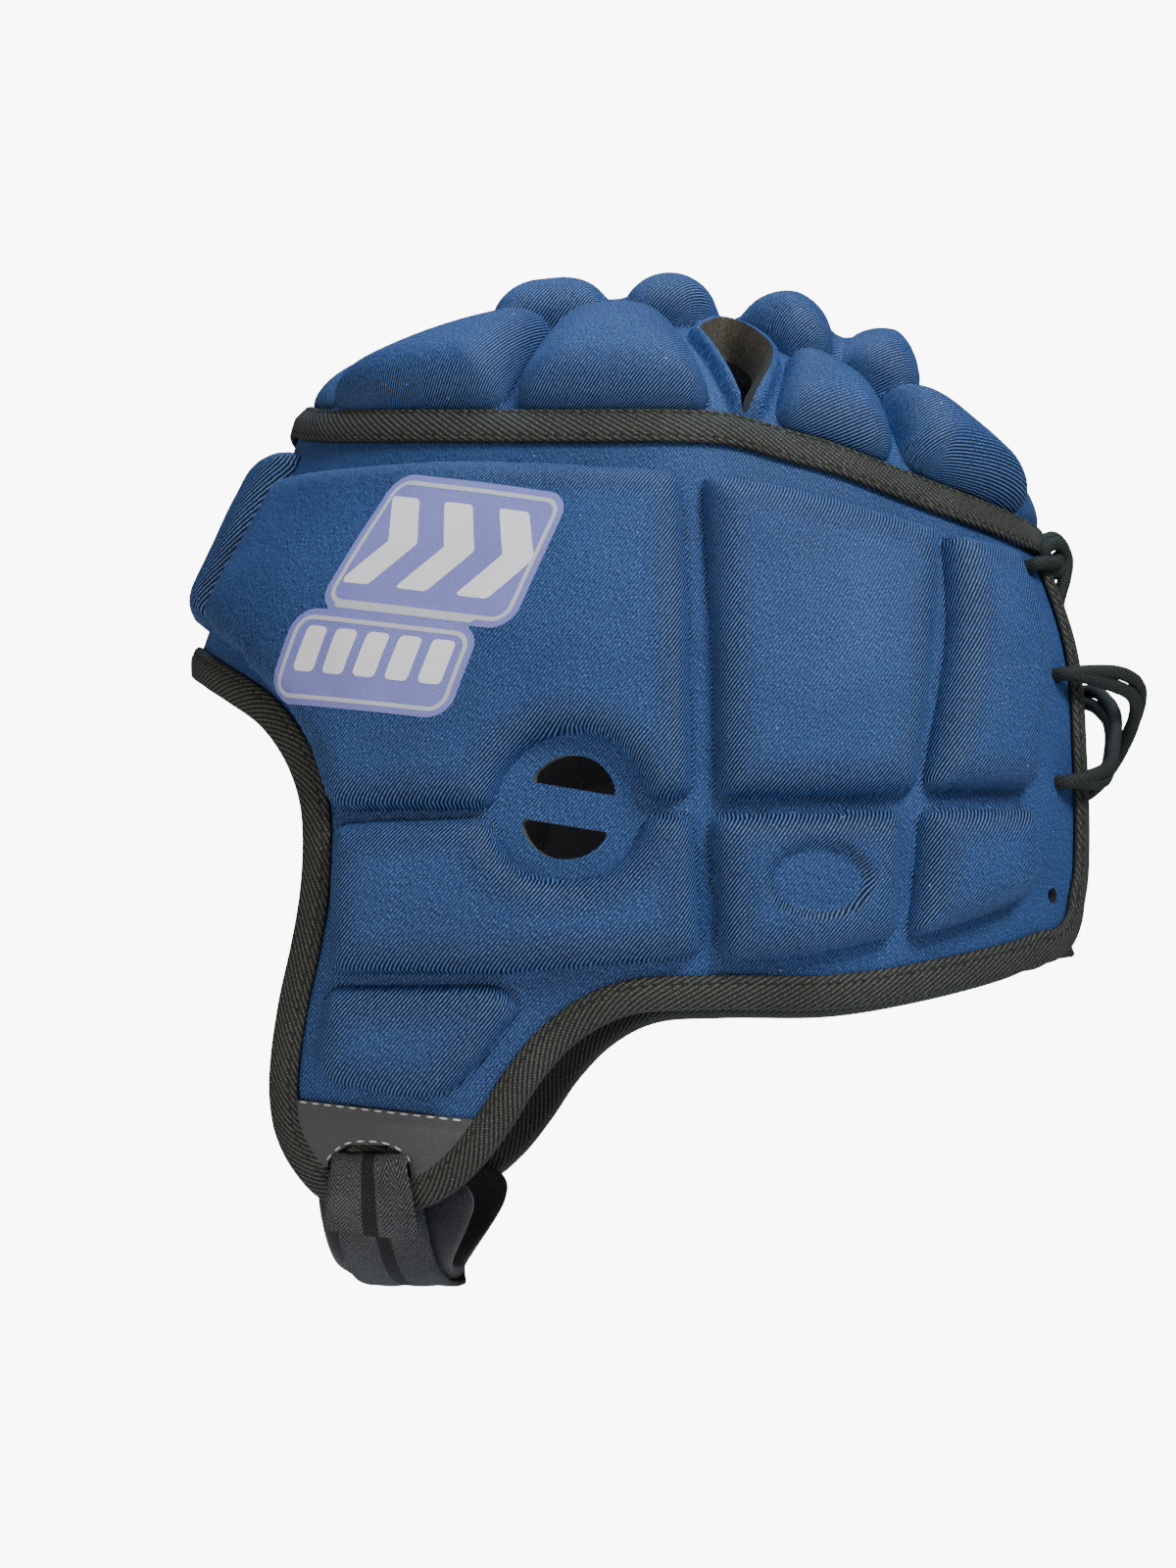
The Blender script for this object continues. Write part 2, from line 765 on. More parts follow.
def ripple(p: np.ndarray, size: float, seed: float) -> np.ndarray:
    """Smooth noise from -1 to 1 at points, with waves of a given size in millimetres."""
    shift = Vector((seed, 2 * seed, -seed))
    return np.array([noise.noise(Vector(q) / size + shift) for q in p])


def crumple(p: np.ndarray, waves: Rows) -> np.ndarray:
    """Layers of smooth noise at points, from rows of height, size and seed."""
    return sum(height * ripple(p, size, seed) for height, size, seed in waves)


# Finishes


def linear(hex_colour: int, alpha: float = 1.0) -> tuple[float, float, float, float]:
    """An sRGB hex colour as linear red, green, blue and alpha."""
    parts = [((hex_colour >> shift) & 255) / 255 for shift in (16, 8, 0)]
    turned = [c / 12.92 if c <= 0.04045 else ((c + 0.055) / 1.055) ** 2.4 for c in parts]
    return (*turned, alpha)


def add_node(tree: bpy.types.NodeTree, kind: str, inputs: dict | tuple = (), **settings) -> bpy.types.Node:
    """Adds one node.

    Args:
        tree: the node tree.
        kind: the node's type.
        inputs: a value, a socket or a node for each input, in order or by its name or number.
        settings: the node's own properties.

    Returns:
        The node.
    """
    node = tree.nodes.new(kind)
    for key, value in settings.items():
        setattr(node, key, value)
    for key, value in inputs.items() if isinstance(inputs, dict) else enumerate(inputs):
        source = value.outputs[0] if isinstance(value, bpy.types.Node) else value
        if isinstance(source, bpy.types.NodeSocket):
            tree.links.new(source, node.inputs[key])
        else:
            node.inputs[key].default_value = source
    return node


class Weave(Enum):
    """How a cloth's surface is made."""

    RIBBED_KNIT = "ribbed knit"
    TWILL = "twill"
    HERRINGBONE = "herringbone"
    BRAID = "braid"
    BRUSHED = "brushed"
    GRAIN = "grain"
    FOAM = "foam"
    PLAIN = "plain"


def wave_over(tree: bpy.types.NodeTree, u, v, pitch: float, angle: float) -> bpy.types.Node:
    """Ridges from 0 to 1 across a flat layout in metres.

    Args:
        tree: the node tree.
        u: the first flat axis.
        v: the second flat axis.
        pitch: the distance between ridges, in millimetres.
        angle: the direction of the ridges from the first axis, in degrees.

    Returns:
        The node that gives their height.
    """
    turn = math.radians(angle)
    side = add_node(tree, MATH, (u, math.sin(turn)), operation="MULTIPLY")
    across = add_node(tree, MATH, (v, -math.cos(turn), side), operation="MULTIPLY_ADD")
    phase = add_node(tree, MATH, (across, 2 * math.pi / (pitch * MM)), operation="MULTIPLY")
    wave = add_node(tree, MATH, (phase,), operation="SINE")
    return add_node(tree, MATH, (wave, 0.5, 0.5), operation="MULTIPLY_ADD")


@dataclass(frozen=True)
class Finish:
    """One material: what the real one is, its colours and the size of its pattern.

    The three colours are those of the gaps, of the yarn and of its brightest fibres.
    """

    name: str
    weave: Weave
    low_colour: int
    colour: int
    high_colour: int
    pitch: float = 1.0
    angle: float = 60.0
    relief: float = 0.1
    roughness: float = 0.8
    sheen: float = 0.0
    sheen_tint: int = 0xFFFFFF
    contrast: float = 0.8
    fibre: float = 0.6
    wear: float = 0.3
    streak: tuple[float, float] = (0.3, 0.75)
    zig: float = 3.1
    stripe: tuple[float, float] | None = None
    lint: bool = False

    def height(self, tree: bpy.types.NodeTree, u, v, place) -> bpy.types.NodeSocket:
        """The pattern's height from 0 to 1.

        Args:
            tree: the node tree.
            u: the first axis of the flat layout.
            v: the second axis of the flat layout.
            place: Object coordinates.

        Returns:
            The socket that holds the height.
        """
        scale = 1 / (self.pitch * MM)
        if self.weave is Weave.RIBBED_KNIT:
            return wave_over(tree, u, v, self.pitch, self.angle).outputs[0]
        if self.weave is Weave.TWILL:
            rib = wave_over(tree, u, v, self.pitch, self.angle)
            yarn = wave_over(tree, u, v, 0.6 * self.pitch, self.angle - 85)
            half = add_node(tree, MATH, (yarn, 0.5, 0.5), operation="MULTIPLY_ADD")
            return add_node(tree, MATH, (rib, half), operation="MULTIPLY").outputs[0]
        if self.weave is Weave.HERRINGBONE:
            zig = add_node(tree, MATH, (v, self.zig * MM), operation="PINGPONG")
            return wave_over(tree, u, zig, self.pitch, self.angle).outputs[0]
        if self.weave is Weave.BRAID:
            one = wave_over(tree, u, v, self.pitch, self.angle)
            two = wave_over(tree, u, v, self.pitch, -self.angle)
            return add_node(tree, MATH, (one, two), operation="MAXIMUM").outputs[0]
        if self.weave in (Weave.GRAIN, Weave.FOAM):
            cells = add_node(tree, "ShaderNodeTexVoronoi", {"Vector": place, "Scale": scale})
            return cells.outputs["Distance"]
        fuzz = add_node(tree, "ShaderNodeTexNoise", {"Vector": place, "Scale": scale, "Detail": 3.0})
        return fuzz.outputs["Fac"]

    def streaks(self, tree: bpy.types.NodeTree, u, v) -> bpy.types.NodeSocket:
        """Fibre streaks along the pattern's ridges, from 0 to 1."""
        sine, cosine = math.sin(math.radians(self.angle)), math.cos(math.radians(self.angle))
        side = add_node(tree, MATH, (u, sine), operation="MULTIPLY")
        across = add_node(tree, MATH, (v, -cosine, side), operation="MULTIPLY_ADD")
        ahead = add_node(tree, MATH, (u, cosine), operation="MULTIPLY")
        along = add_node(tree, MATH, (v, sine, ahead), operation="MULTIPLY_ADD")
        short = add_node(tree, MATH, (across, 1 / (self.streak[0] * MM)), operation="MULTIPLY")
        long = add_node(tree, MATH, (along, 1 / (self.streak[1] * MM)), operation="MULTIPLY")
        at = add_node(tree, "ShaderNodeCombineXYZ", (short, long))
        settings = {"Vector": at, "Scale": 1.0, "Detail": 2.0, "Roughness": 0.65}
        return add_node(tree, "ShaderNodeTexNoise", settings).outputs["Fac"]

    def add_lint(self, tree: bpy.types.NodeTree, colour, place) -> bpy.types.NodeSocket:
        """Puts a few pale specks of lint over a colour."""
        cells = add_node(tree, "ShaderNodeTexVoronoi", {"Vector": place, "Scale": 1 / (LINT_SPACING * MM)})
        chance = add_node(tree, "ShaderNodeSeparateXYZ", (cells.outputs["Color"],))
        small = add_node(tree, MATH, (cells.outputs["Distance"], LINT_SIZE), operation="LESS_THAN")
        rare = add_node(tree, MATH, (chance, 1 - LINT_SHARE), operation="GREATER_THAN")
        spot = add_node(tree, MATH, (small, rare), operation="MULTIPLY")
        factor = add_node(tree, MATH, (spot, 0.75), operation="MULTIPLY")
        inputs = {"Factor": factor, 6: colour, 7: linear(LINT_COLOUR)}
        return add_node(tree, "ShaderNodeMix", inputs, data_type="RGBA").outputs[2]

    def tone(self, tree: bpy.types.NodeTree, v, high, streak, place, stretch) -> bpy.types.Node:
        """How bright the yarn is, from 0 to 1.

        Args:
            tree: the node tree.
            v: the second axis of the flat layout.
            high: the pattern's height.
            streak: the fibre streaks.
            place: Object coordinates.
            stretch: how far the cloth is stretched.

        Returns:
            The node that gives the tone.
        """
        cloud = add_node(tree, "ShaderNodeTexNoise", {"Vector": place, "Scale": 38.0, "Detail": 4.0})
        strength = add_node(tree, MATH, (stretch, 1.5, self.contrast), operation="MULTIPLY_ADD")
        above = add_node(tree, MATH, (high, 0.5), operation="SUBTRACT")
        tone = add_node(tree, MATH, (above, strength), operation="MULTIPLY")
        for source, amount in ((streak, 2 * self.fibre), (cloud.outputs["Fac"], self.wear)):
            above = add_node(tree, MATH, (source, 0.5), operation="SUBTRACT")
            tone = add_node(tree, MATH, (above, amount, tone), operation="MULTIPLY_ADD")
        tone = add_node(tree, MATH, (stretch, -0.33, tone), operation="MULTIPLY_ADD")
        tone = add_node(tree, MATH, (tone, 0.5), operation="ADD")
        if self.stripe:
            middle, half = self.stripe
            off = add_node(tree, MATH, (v, middle * MM), operation="SUBTRACT")
            away = add_node(tree, MATH, (off,), operation="ABSOLUTE")
            on = add_node(tree, MATH, (away, half * MM), operation="LESS_THAN")
            tone = add_node(tree, MATH, (on, -0.45, tone), operation="MULTIPLY_ADD")
        return tone

    def build(self) -> bpy.types.Material:
        """Makes the Blender material.

        Returns:
            The material, with its pattern in colour and in bump.
        """
        material = bpy.data.materials.new(self.name)
        material.use_nodes = True
        tree = material.node_tree
        shader = next(node for node in tree.nodes if node.type == "BSDF_PRINCIPLED")
        layout = add_node(tree, "ShaderNodeUVMap", uv_map="layout")
        flat = add_node(tree, "ShaderNodeSeparateXYZ", (layout,))
        u, v = flat.outputs[0], flat.outputs[1]
        place = add_node(tree, "ShaderNodeTexCoord").outputs["Object"]
        stretch = add_node(tree, "ShaderNodeAttribute", attribute_name="stretch").outputs["Fac"]
        high = self.height(tree, u, v, place)
        streak = self.streaks(tree, u, v)
        ramp = add_node(tree, "ShaderNodeValToRGB", (self.tone(tree, v, high, streak, place, stretch),))
        ramp.color_ramp.elements[0].color = linear(self.low_colour)
        ramp.color_ramp.elements[1].color = linear(self.high_colour)
        ramp.color_ramp.elements.new(0.5).color = linear(self.colour)
        colour = self.add_lint(tree, ramp.outputs[0], place) if self.lint else ramp.outputs[0]
        tree.links.new(colour, shader.inputs["Base Color"])
        full = add_node(tree, MATH, (stretch, 0.5, 0.5), operation="MULTIPLY_ADD")
        swell = add_node(tree, MATH, (high, full), operation="MULTIPLY")
        relief = add_node(tree, MATH, (streak, 0.6 * self.fibre, swell), operation="MULTIPLY_ADD")
        bump = add_node(
            tree, "ShaderNodeBump", {"Height": relief, "Distance": self.relief * MM, "Strength": 1.0}
        )
        tree.links.new(bump.outputs[0], shader.inputs["Normal"])
        shader.inputs["Roughness"].default_value = self.roughness
        shader.inputs["Sheen Weight"].default_value = self.sheen
        shader.inputs["Sheen Roughness"].default_value = 0.45
        shader.inputs["Sheen Tint"].default_value = linear(self.sheen_tint)
        shader.inputs["Specular IOR Level"].default_value = 0.3
        return material


@dataclass
class Workshop:
    """Makes each finish once, and turns meshes into named pieces on the object."""

    made: dict[str, bpy.types.Material] = field(default_factory=dict)

    def material(self, finish: Finish) -> bpy.types.Material:
        """The finish's material, made on its first use."""
        if finish.name not in self.made:
            self.made[finish.name] = finish.build()
        return self.made[finish.name]

    def piece(
        self,
        name: str,
        bm: bmesh.types.BMesh,
        finishes: list[Finish],
        replaces: tuple[str, ...] = (),
    ) -> bpy.types.Object:
        """Turns a mesh into a piece that rides on the part.

        Args:
            name: the piece's name.
            bm: its mesh in metres, freed here.
            finishes: one finish for each material index.
            replaces: the CAD nodes that it stands for.

        Returns:
            The new object.
        """
        mesh = bpy.data.meshes.new(name)
        for face in bm.faces:
            face.smooth = True
        bm.to_mesh(mesh)
        bm.free()
        for finish in finishes:
            mesh.materials.append(self.material(finish))
        made = bpy.data.objects.new(name, mesh)
        bpy.context.scene.collection.objects.link(made)
        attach(made, "root")
        if replaces:
            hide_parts(*replaces)
        LOG.info("%s: %d faces", name, len(mesh.polygons))
        return made


# Polyester knit over foam: dark between its ribs, with bright fibres on top and a blue sheen
NAVY_KNIT = Finish(
    "navy_polyester_knit", Weave.RIBBED_KNIT, 0x040A18, 0x203F72, 0x5A88CC, pitch=0.82, angle=52,
    relief=0.16, roughness=0.62, sheen=0.12, sheen_tint=0x5C86DC, contrast=0.3, fibre=0.95, wear=0.2,
    lint=True,
)
# Closed-cell foam, cut: matt grey-olive with fine cells
CUT_FOAM = Finish(
    "cut_eva_foam", Weave.FOAM, 0x2C2B27, 0x57554C, 0x7E7C72, pitch=0.7, relief=0.12, roughness=0.95,
    contrast=0.5, fibre=0.4,
)
# Brushed nylon lining: matt black
BRUSHED_LINING = Finish(
    "brushed_nylon_lining", Weave.BRUSHED, 0x0E0F12, 0x26282D, 0x44474D, pitch=0.5, relief=0.15,
    roughness=0.95, sheen=0.2, contrast=0.6,
)
# Polyester twill tape: charcoal ribs on the slant
TWILL_TAPE = Finish(
    "charcoal_twill_tape", Weave.TWILL, 0x0B0C0B, 0x363936, 0x6E736C, pitch=1.25, angle=32, relief=0.2,
    roughness=0.8, contrast=0.75, fibre=0.8,
)
# Coated cloth: dark grey with a faint grain
COATED_CLOTH = Finish(
    "grey_coated_cloth", Weave.GRAIN, 0x34373A, 0x46494C, 0x5C6063, pitch=0.5, relief=0.04, roughness=0.45,
    contrast=0.3, fibre=0.2,
)
# Polyester webbing in a herringbone, with a smooth stripe down its middle
WEBBING = Finish(
    "charcoal_herringbone_webbing", Weave.HERRINGBONE, 0x090A0B, 0x2F3133, 0x6C6F71, pitch=0.8, angle=38,
    relief=0.16, roughness=0.75, contrast=0.5, fibre=0.9, wear=0.7, stripe=(12.5, 2.0),
)
# Braided polyester cord: greenish black
LACE_CORD = Finish(
    "black_braided_cord", Weave.BRAID, 0x040605, 0x151B19, 0x333B38, pitch=0.9, angle=35, relief=0.14,
    roughness=0.75,
)
DARK_THREAD = Finish(
    "black_sewing_thread", Weave.PLAIN, 0x0E0F0E, 0x242624, 0x40433F, pitch=0.3, roughness=0.7
)
WHITE_THREAD = Finish(
    "white_sewing_thread", Weave.PLAIN, 0xA2A5A4, 0xD4D8D6, 0xF2F4F3, pitch=0.3, roughness=0.7
)
# Screen print on the knit: the ribs show through the ink
PERIWINKLE_INK = Finish(
    "periwinkle_screen_ink", Weave.RIBBED_KNIT, 0x6166B4, 0x8085D0, 0xA6AAE6, pitch=0.82, angle=52,
    relief=0.08, roughness=0.6, contrast=0.3, fibre=0.5,
)
WHITE_INK = Finish(
    "white_screen_ink", Weave.RIBBED_KNIT, 0xD6DCE8, 0xF2F6FB, 0xFFFFFF, pitch=0.82, angle=52,
    relief=0.06, roughness=0.6, contrast=0.3, fibre=0.4,
)
GREY_INK = Finish(
    "grey_screen_ink", Weave.RIBBED_KNIT, 0xA6AFBF, 0xC4CCD8, 0xE0E6EE, pitch=0.82, angle=52,
    relief=0.06, roughness=0.6, contrast=0.3, fibre=0.4,
)


# The lower outline of the band, which the edge binding follows


@dataclass(frozen=True)
class EdgeSizes:
    """Where the band ends, and the tape that binds it."""

    tape_width: float = 9.0
    tape_thickness: float = 1.2
    seam_tape_thickness: float = 1.6
    clearance: float = 0.7
    seam_clearance: float = 0.8
    lining_clearance: float = 1.3
    gap_top: float = 14.0
    gap_bottom: float = 23.0
    corner_radius: float = 15.0
    outline_rows: Rows = (
        (-1.1, 0.372), (-1.0, 0.382), (-0.922, 0.408), (-0.853, 0.431), (-0.798, 0.451), (-0.757, 0.474),
        (-0.722, 0.503), (-0.696, 0.54), (-0.688, 0.581), (-0.693, 0.632), (-0.71, 0.683),
        (-0.739, 0.744), (-0.76, 0.805), (-0.765, 0.846), (-0.753, 0.887), (-0.717, 0.923),
        (-0.656, 0.954), (-0.553, 0.968), (-0.471, 0.964), (-0.399, 0.949), (-0.328, 0.918),
        (-0.267, 0.878), (-0.205, 0.83), (-0.126, 0.788), (-0.028, 0.762), (0.134, 0.756), (0.4, 0.755),
        (0.609, 0.739), (0.804, 0.715), (0.909, 0.695), (1.06, 0.684),
    )

    @property
    def reach(self) -> float:
        """How far the binding stands past the band's cut edge."""
        return self.tape_thickness + self.clearance

    def outline(self, form: HeadForm, inset: float) -> np.ndarray:
        """The band's lower outline in the side view, moved inwards.

        Args:
            form: the head form.
            inset: how far it moves.

        Returns:
            Rows of y and z, from the brow round the jaw to the nape.
        """
        rows = np.array(self.outline_rows)
        line = smooth_line(np.stack([form.along_to_y(rows[:, 0]), -rows[:, 1] * form.depth], axis=1), 2.5)
        side = tangents_of(line)
        return line + inset * np.stack([-side[:, 1], side[:, 0]], axis=1)

    def side_ring(self, form: HeadForm, inset: float) -> np.ndarray:
        """The side view's lower outline, moved inwards and closed far above the band."""
        line = self.outline(form, inset)
        far = [[FAR, line[-1, 1]], [FAR, FAR], [-FAR, FAR], [-FAR, line[0, 1]]]
        return np.concatenate([line, far])

    def back_y(self, form: HeadForm, x: np.ndarray, z: np.ndarray) -> np.ndarray:
        """The y of the back surface at x and z."""
        _, back, half = form.section(z, 0.0)
        share = np.clip(np.abs(x) / half, 0, 1) ** form.back_power
        return form.widest_y + (back - form.widest_y) * (1 - share) ** (1 / form.back_power)

    def gap_side(self, form: HeadForm, top: float) -> np.ndarray:
        """One side of the gap at the back, down to its rounded lower corner.

        Args:
            form: the head form.
            top: the height where it starts.

        Returns:
            Rows of x and z.
        """
        end_x = self.gap_bottom + self.corner_radius
        line = self.outline(form, self.reach)
        nape = line[line[:, 0] > form.widest_y]
        end_y = float(self.back_y(form, np.array([end_x]), np.array([-0.7 * form.depth]))[0])
        corner_z = float(np.interp(end_y, nape[:, 0], nape[:, 1]))
        straight = corner_z + self.corner_radius
        seam_back = float(form.seam(np.array([math.pi]))[0, 2])
        z = np.linspace(top, straight, 16)[:-1]
        share = np.clip((seam_back - z) / (seam_back + 0.69 * form.depth), 0, 1)
        x = self.gap_top + share * (self.gap_bottom - self.gap_top)
        turn = np.linspace(0, math.pi / 2, 9)
        x = np.concatenate([x, self.gap_bottom + self.corner_radius * (1 - np.cos(turn))])
        z = np.concatenate([z, straight - self.corner_radius * np.sin(turn)])
        return np.stack([x, z], axis=1)


# The band


@dataclass(frozen=True)
class Eyelet:
    """A lace hole: its x as a share of the half width and its drop as a share of the depth."""

    half: float
    drop: float


# The sides of each pad of the band, clockwise from its top, as shares of half the girth and of the depth
BAND_PADS: dict[str, tuple[Rows, ...]] = {
    "brow": (
        ((-0.122, 0.152), (0.122, 0.152)),
        ((0.122, 0.152), (0.077, 0.324)),
        ((0.077, 0.324), (-0.077, 0.324)),
        ((-0.077, 0.324), (-0.122, 0.152)),
    ),
    "front": (
        ((0.148, 0.188), (0.338, 0.191), (0.439, 0.198), (0.552, 0.208)),
        ((0.552, 0.208), (0.555, 0.536)),
        ((0.555, 0.536), (0.401, 0.546), (0.29, 0.544)),
        ((0.29, 0.544), (0.267, 0.484), (0.243, 0.438), (0.187, 0.376), (0.119, 0.336)),
        ((0.119, 0.336), (0.148, 0.188)),
    ),
    "middle": (
        ((0.579, 0.212), (0.635, 0.22), (0.7, 0.236), (0.783, 0.256)),
        ((0.783, 0.256), (0.754, 0.368), (0.73, 0.528)),
        ((0.73, 0.528), (0.582, 0.536)),
        ((0.582, 0.536), (0.579, 0.212)),
    ),
    "back": (
        ((0.801, 0.26), (0.872, 0.268)),
        ((0.872, 0.268), (0.872, 0.4), (0.846, 0.516)),
        ((0.846, 0.516), (0.748, 0.524)),
        ((0.748, 0.524), (0.801, 0.26)),
    ),
    "front_low": (
        ((0.297, 0.568), (0.555, 0.564)),
        ((0.555, 0.564), (0.562, 0.696)),
        ((0.562, 0.696), (0.421, 0.714), (0.306, 0.712)),
        ((0.306, 0.712), (0.297, 0.568)),
    ),
    "middle_low": (
        ((0.576, 0.564), (0.718, 0.554)),
        ((0.718, 0.554), (0.715, 0.676)),
        ((0.715, 0.676), (0.647, 0.696), (0.585, 0.702)),
        ((0.585, 0.702), (0.576, 0.564)),
    ),
    "back_low": (
        ((0.745, 0.552), (0.843, 0.542)),
        ((0.843, 0.542), (0.849, 0.608), (0.831, 0.636), (0.786, 0.66)),
        ((0.786, 0.66), (0.736, 0.676)),
        ((0.736, 0.676), (0.745, 0.552)),
    ),
    "jaw": (
        ((0.303, 0.736), (0.424, 0.736)),
        ((0.424, 0.736), (0.433, 0.754), (0.407, 0.804), (0.383, 0.838)),
        ((0.383, 0.838), (0.352, 0.838), (0.298, 0.824)),
        ((0.298, 0.824), (0.292, 0.804), (0.303, 0.736)),
    ),
}


@dataclass
class Band:
    """The padded band round the head, with its jaw guards, ear vents and lace holes."""

    form: HeadForm
    edge: EdgeSizes
    relief: float = 8.0
    brow_relief: float = 9.0
    pad_edge: float = 7.5
    pad_grow: float = 1.6
    corner_power: float = 5.0
    bow: float = 1.2
    quilt: float = 1.2
    cell: float = 1.35
    ear_centre: tuple[float, float] = (0.469, 0.55)
    ear_radius: float = 11.2
    ear_lift: float = 2.2
    ear_bar: float = 9.5
    ear_margin: float = 7.3
    ear_tilt: float = 10.0
    dimple_centre: tuple[float, float] = (0.651, 0.623)
    dimple_half: tuple[float, float] = (12.0, 8.7)
    dimple_depth: float = 3.0
    waves: Rows = ((0.35, 17.0, 3.0), (0.12, 6.0, 9.0))
    eyelet_radius: float = 2.2
    slot_shape: Rows = (
        (0.291, 0.929), (0.291, 0.911), (0.297, 0.903), (0.309, 0.893), (0.338, 0.893), (0.349, 0.901),
        (0.354, 0.912), (0.354, 0.930),
    )
    eyelets: tuple[Eyelet, ...] = (
        Eyelet(0.3, 0.274),
        Eyelet(0.335, 0.393),
        Eyelet(0.37, 0.51),
        Eyelet(0.405, 0.632),
    )
    def spot(self, shares: tuple[float, float]) -> tuple[float, float]:
        """A place on the flat panel from its shares of half girth and depth."""
        return shares[0] * self.form.half_girth, -shares[1] * self.form.depth

    @property
    def slot(self) -> np.ndarray:
        """The strap slot's corners on the flat panel."""
        return np.array([self.spot(corner) for corner in self.slot_shape])

    def inside_pad(self, name: str, flat: np.ndarray) -> np.ndarray:
        """Distance inside one pad's rounded outline at places on the flat panel."""
        side, z = np.abs(flat[:, 0]), flat[:, 1]
        ear_s, ear_z = self.spot(self.ear_centre)
        ring = np.hypot(side - ear_s, z - ear_z) - self.ear_radius - self.ear_margin
        sides = [np.array([self.spot(corner) for corner in line]) for line in BAND_PADS[name]]
        distances = [inside_side(line, side, z) + self.pad_grow for line in sides]
        return rounded_inside([*distances, ring], self.pad_edge, self.corner_power)

    def pad_fields(self) -> list[Field]:
        """The distance inside each pad."""
        return [partial(self.inside_pad, name) for name in BAND_PADS]

    def pad_depth(self, flat: np.ndarray) -> np.ndarray:
        """Distance inside the nearest pad, below 0 in the grooves."""
        return np.maximum.reduce([pad(flat) for pad in self.pad_fields()])

    def stretch(self, flat: np.ndarray) -> np.ndarray:
        """How far the knit is stretched over a pad's edge, from 0 to 1."""
        depth = self.pad_depth(flat)
        dim = np.clip(1 - np.abs(self.dimple_share(flat) - 1.06) / 0.14, 0, 1)
        return np.where(depth > 0, np.maximum(np.clip(1 - depth / (1.5 * self.pad_edge), 0, 1), dim), 0.0)

    def dimple_share(self, flat: np.ndarray) -> np.ndarray:
        """How far out places lie in the round dimple, 1 at its edge."""
        away = np.stack([np.abs(flat[:, 0]), flat[:, 1]], axis=1) - self.spot(self.dimple_centre)
        return np.hypot(*(away / self.dimple_half).T)

    def height(self, s: np.ndarray, z: np.ndarray) -> np.ndarray:
        """Padding over the base surface at places on the flat panel.

        Args:
            s: lengths from the brow's middle.
            z: heights.

        Returns:
            The padding in millimetres.
        """
        height = np.zeros(len(s))
        flat = np.stack([s, z], axis=1)
        for name in BAND_PADS:
            inside = self.inside_pad(name, flat)
            top = self.brow_relief if name == "brow" else self.relief
            u = np.clip(inside / self.pad_edge, 0, 1)
            bow = self.bow * np.clip(inside / (3 * self.pad_edge), 0, 1)
            height = np.maximum(height, top * np.sqrt(1 - (1 - u) ** 2) + bow)
        t = np.clip((1.15 - self.dimple_share(flat)) / 0.2, 0, 1)
        return np.maximum(height - self.dimple_depth * t * t * (3 - 2 * t), 0)

    def ear_distance(self, s: np.ndarray, z: np.ndarray) -> np.ndarray:
        """Distance outside the two half-moons of the ear vent."""
        ear_s, ear_z = self.spot(self.ear_centre)
        turn = math.radians(self.ear_tilt)
        ds, dz = np.abs(s) - ear_s, z - ear_z
        x = ds * math.cos(turn) - dz * math.sin(turn)
        y = np.abs(ds * math.sin(turn) + dz * math.cos(turn))
        moon = np.hypot(x, np.maximum(y - self.ear_lift, 0)) - self.ear_radius
        return np.maximum(moon, self.ear_bar / 2 - y)

    def eyelet_place(self, eyelet: Eyelet) -> tuple[np.ndarray, np.ndarray, float]:
        """Where a lace hole is.

        Args:
            eyelet: the hole.

        Returns:
            Its point, its outward direction and its length on the flat panel.
        """
        z = np.array([-eyelet.drop * self.form.depth])
        x = np.array([eyelet.half * self.form.half_width])
        p = np.stack([x, self.edge.back_y(self.form, x, z), z], axis=1)
        s = self.form.length_at(self.form.turn_of(p))
        return p[0], self.form.panel_normal(s, z)[0], float(s[0])

    def cloth_field(self, flat: np.ndarray) -> np.ndarray:
        """Above 0 where the band has cloth, on the flat panel."""
        form, edge = self.form, self.edge
        s, z = flat[:, 0], flat[:, 1]
        p = form.panel(s, z)
        below_seam = form.seam_z(p[:, 1]) - z
        distances = [below_seam, outline_distance(edge.side_ring(form, edge.reach), p[:, 1], z)]
        side = edge.gap_side(form, 0.0)
        corner = np.array([side[-1, 0], -1.1 * form.depth])
        gap = np.concatenate([side, [corner], [[-corner[0], corner[1]]], side[::-1] * [-1, 1]])
        distances.append(np.where(p[:, 1] > 0, -outline_distance(gap, p[:, 0], z), np.inf))
        distances.append(self.ear_distance(s, z))
        distances.append(-outline_distance(self.slot, np.abs(s), z))
        for eyelet in self.eyelets:
            _, _, at = self.eyelet_place(eyelet)
            distances.append(np.hypot(np.abs(s) - at, z + eyelet.drop * form.depth) - self.eyelet_radius)
        return np.minimum.reduce(distances)

    def place(self, flat: np.ndarray) -> np.ndarray:
        """Flat places of the band to points: height 0 is the outer cloth and -1 the lining."""
        form = self.form
        s, z = flat[:, 0], flat[:, 1]
        pad = self.height(s, z)
        dent = self.quilt * (1 - np.clip(pad / self.relief, 0, 1))
        outer = form.panel(s, z)
        soft = np.clip(pad / self.relief, 0, 1)
        outer = outer + form.panel_normal(s, z) * (pad + soft * crumple(outer, self.waves))[:, None]
        inner = form.panel(s, z, form.wall - dent)
        return np.where(flat[:, 2:3] < -0.5, inner, outer)

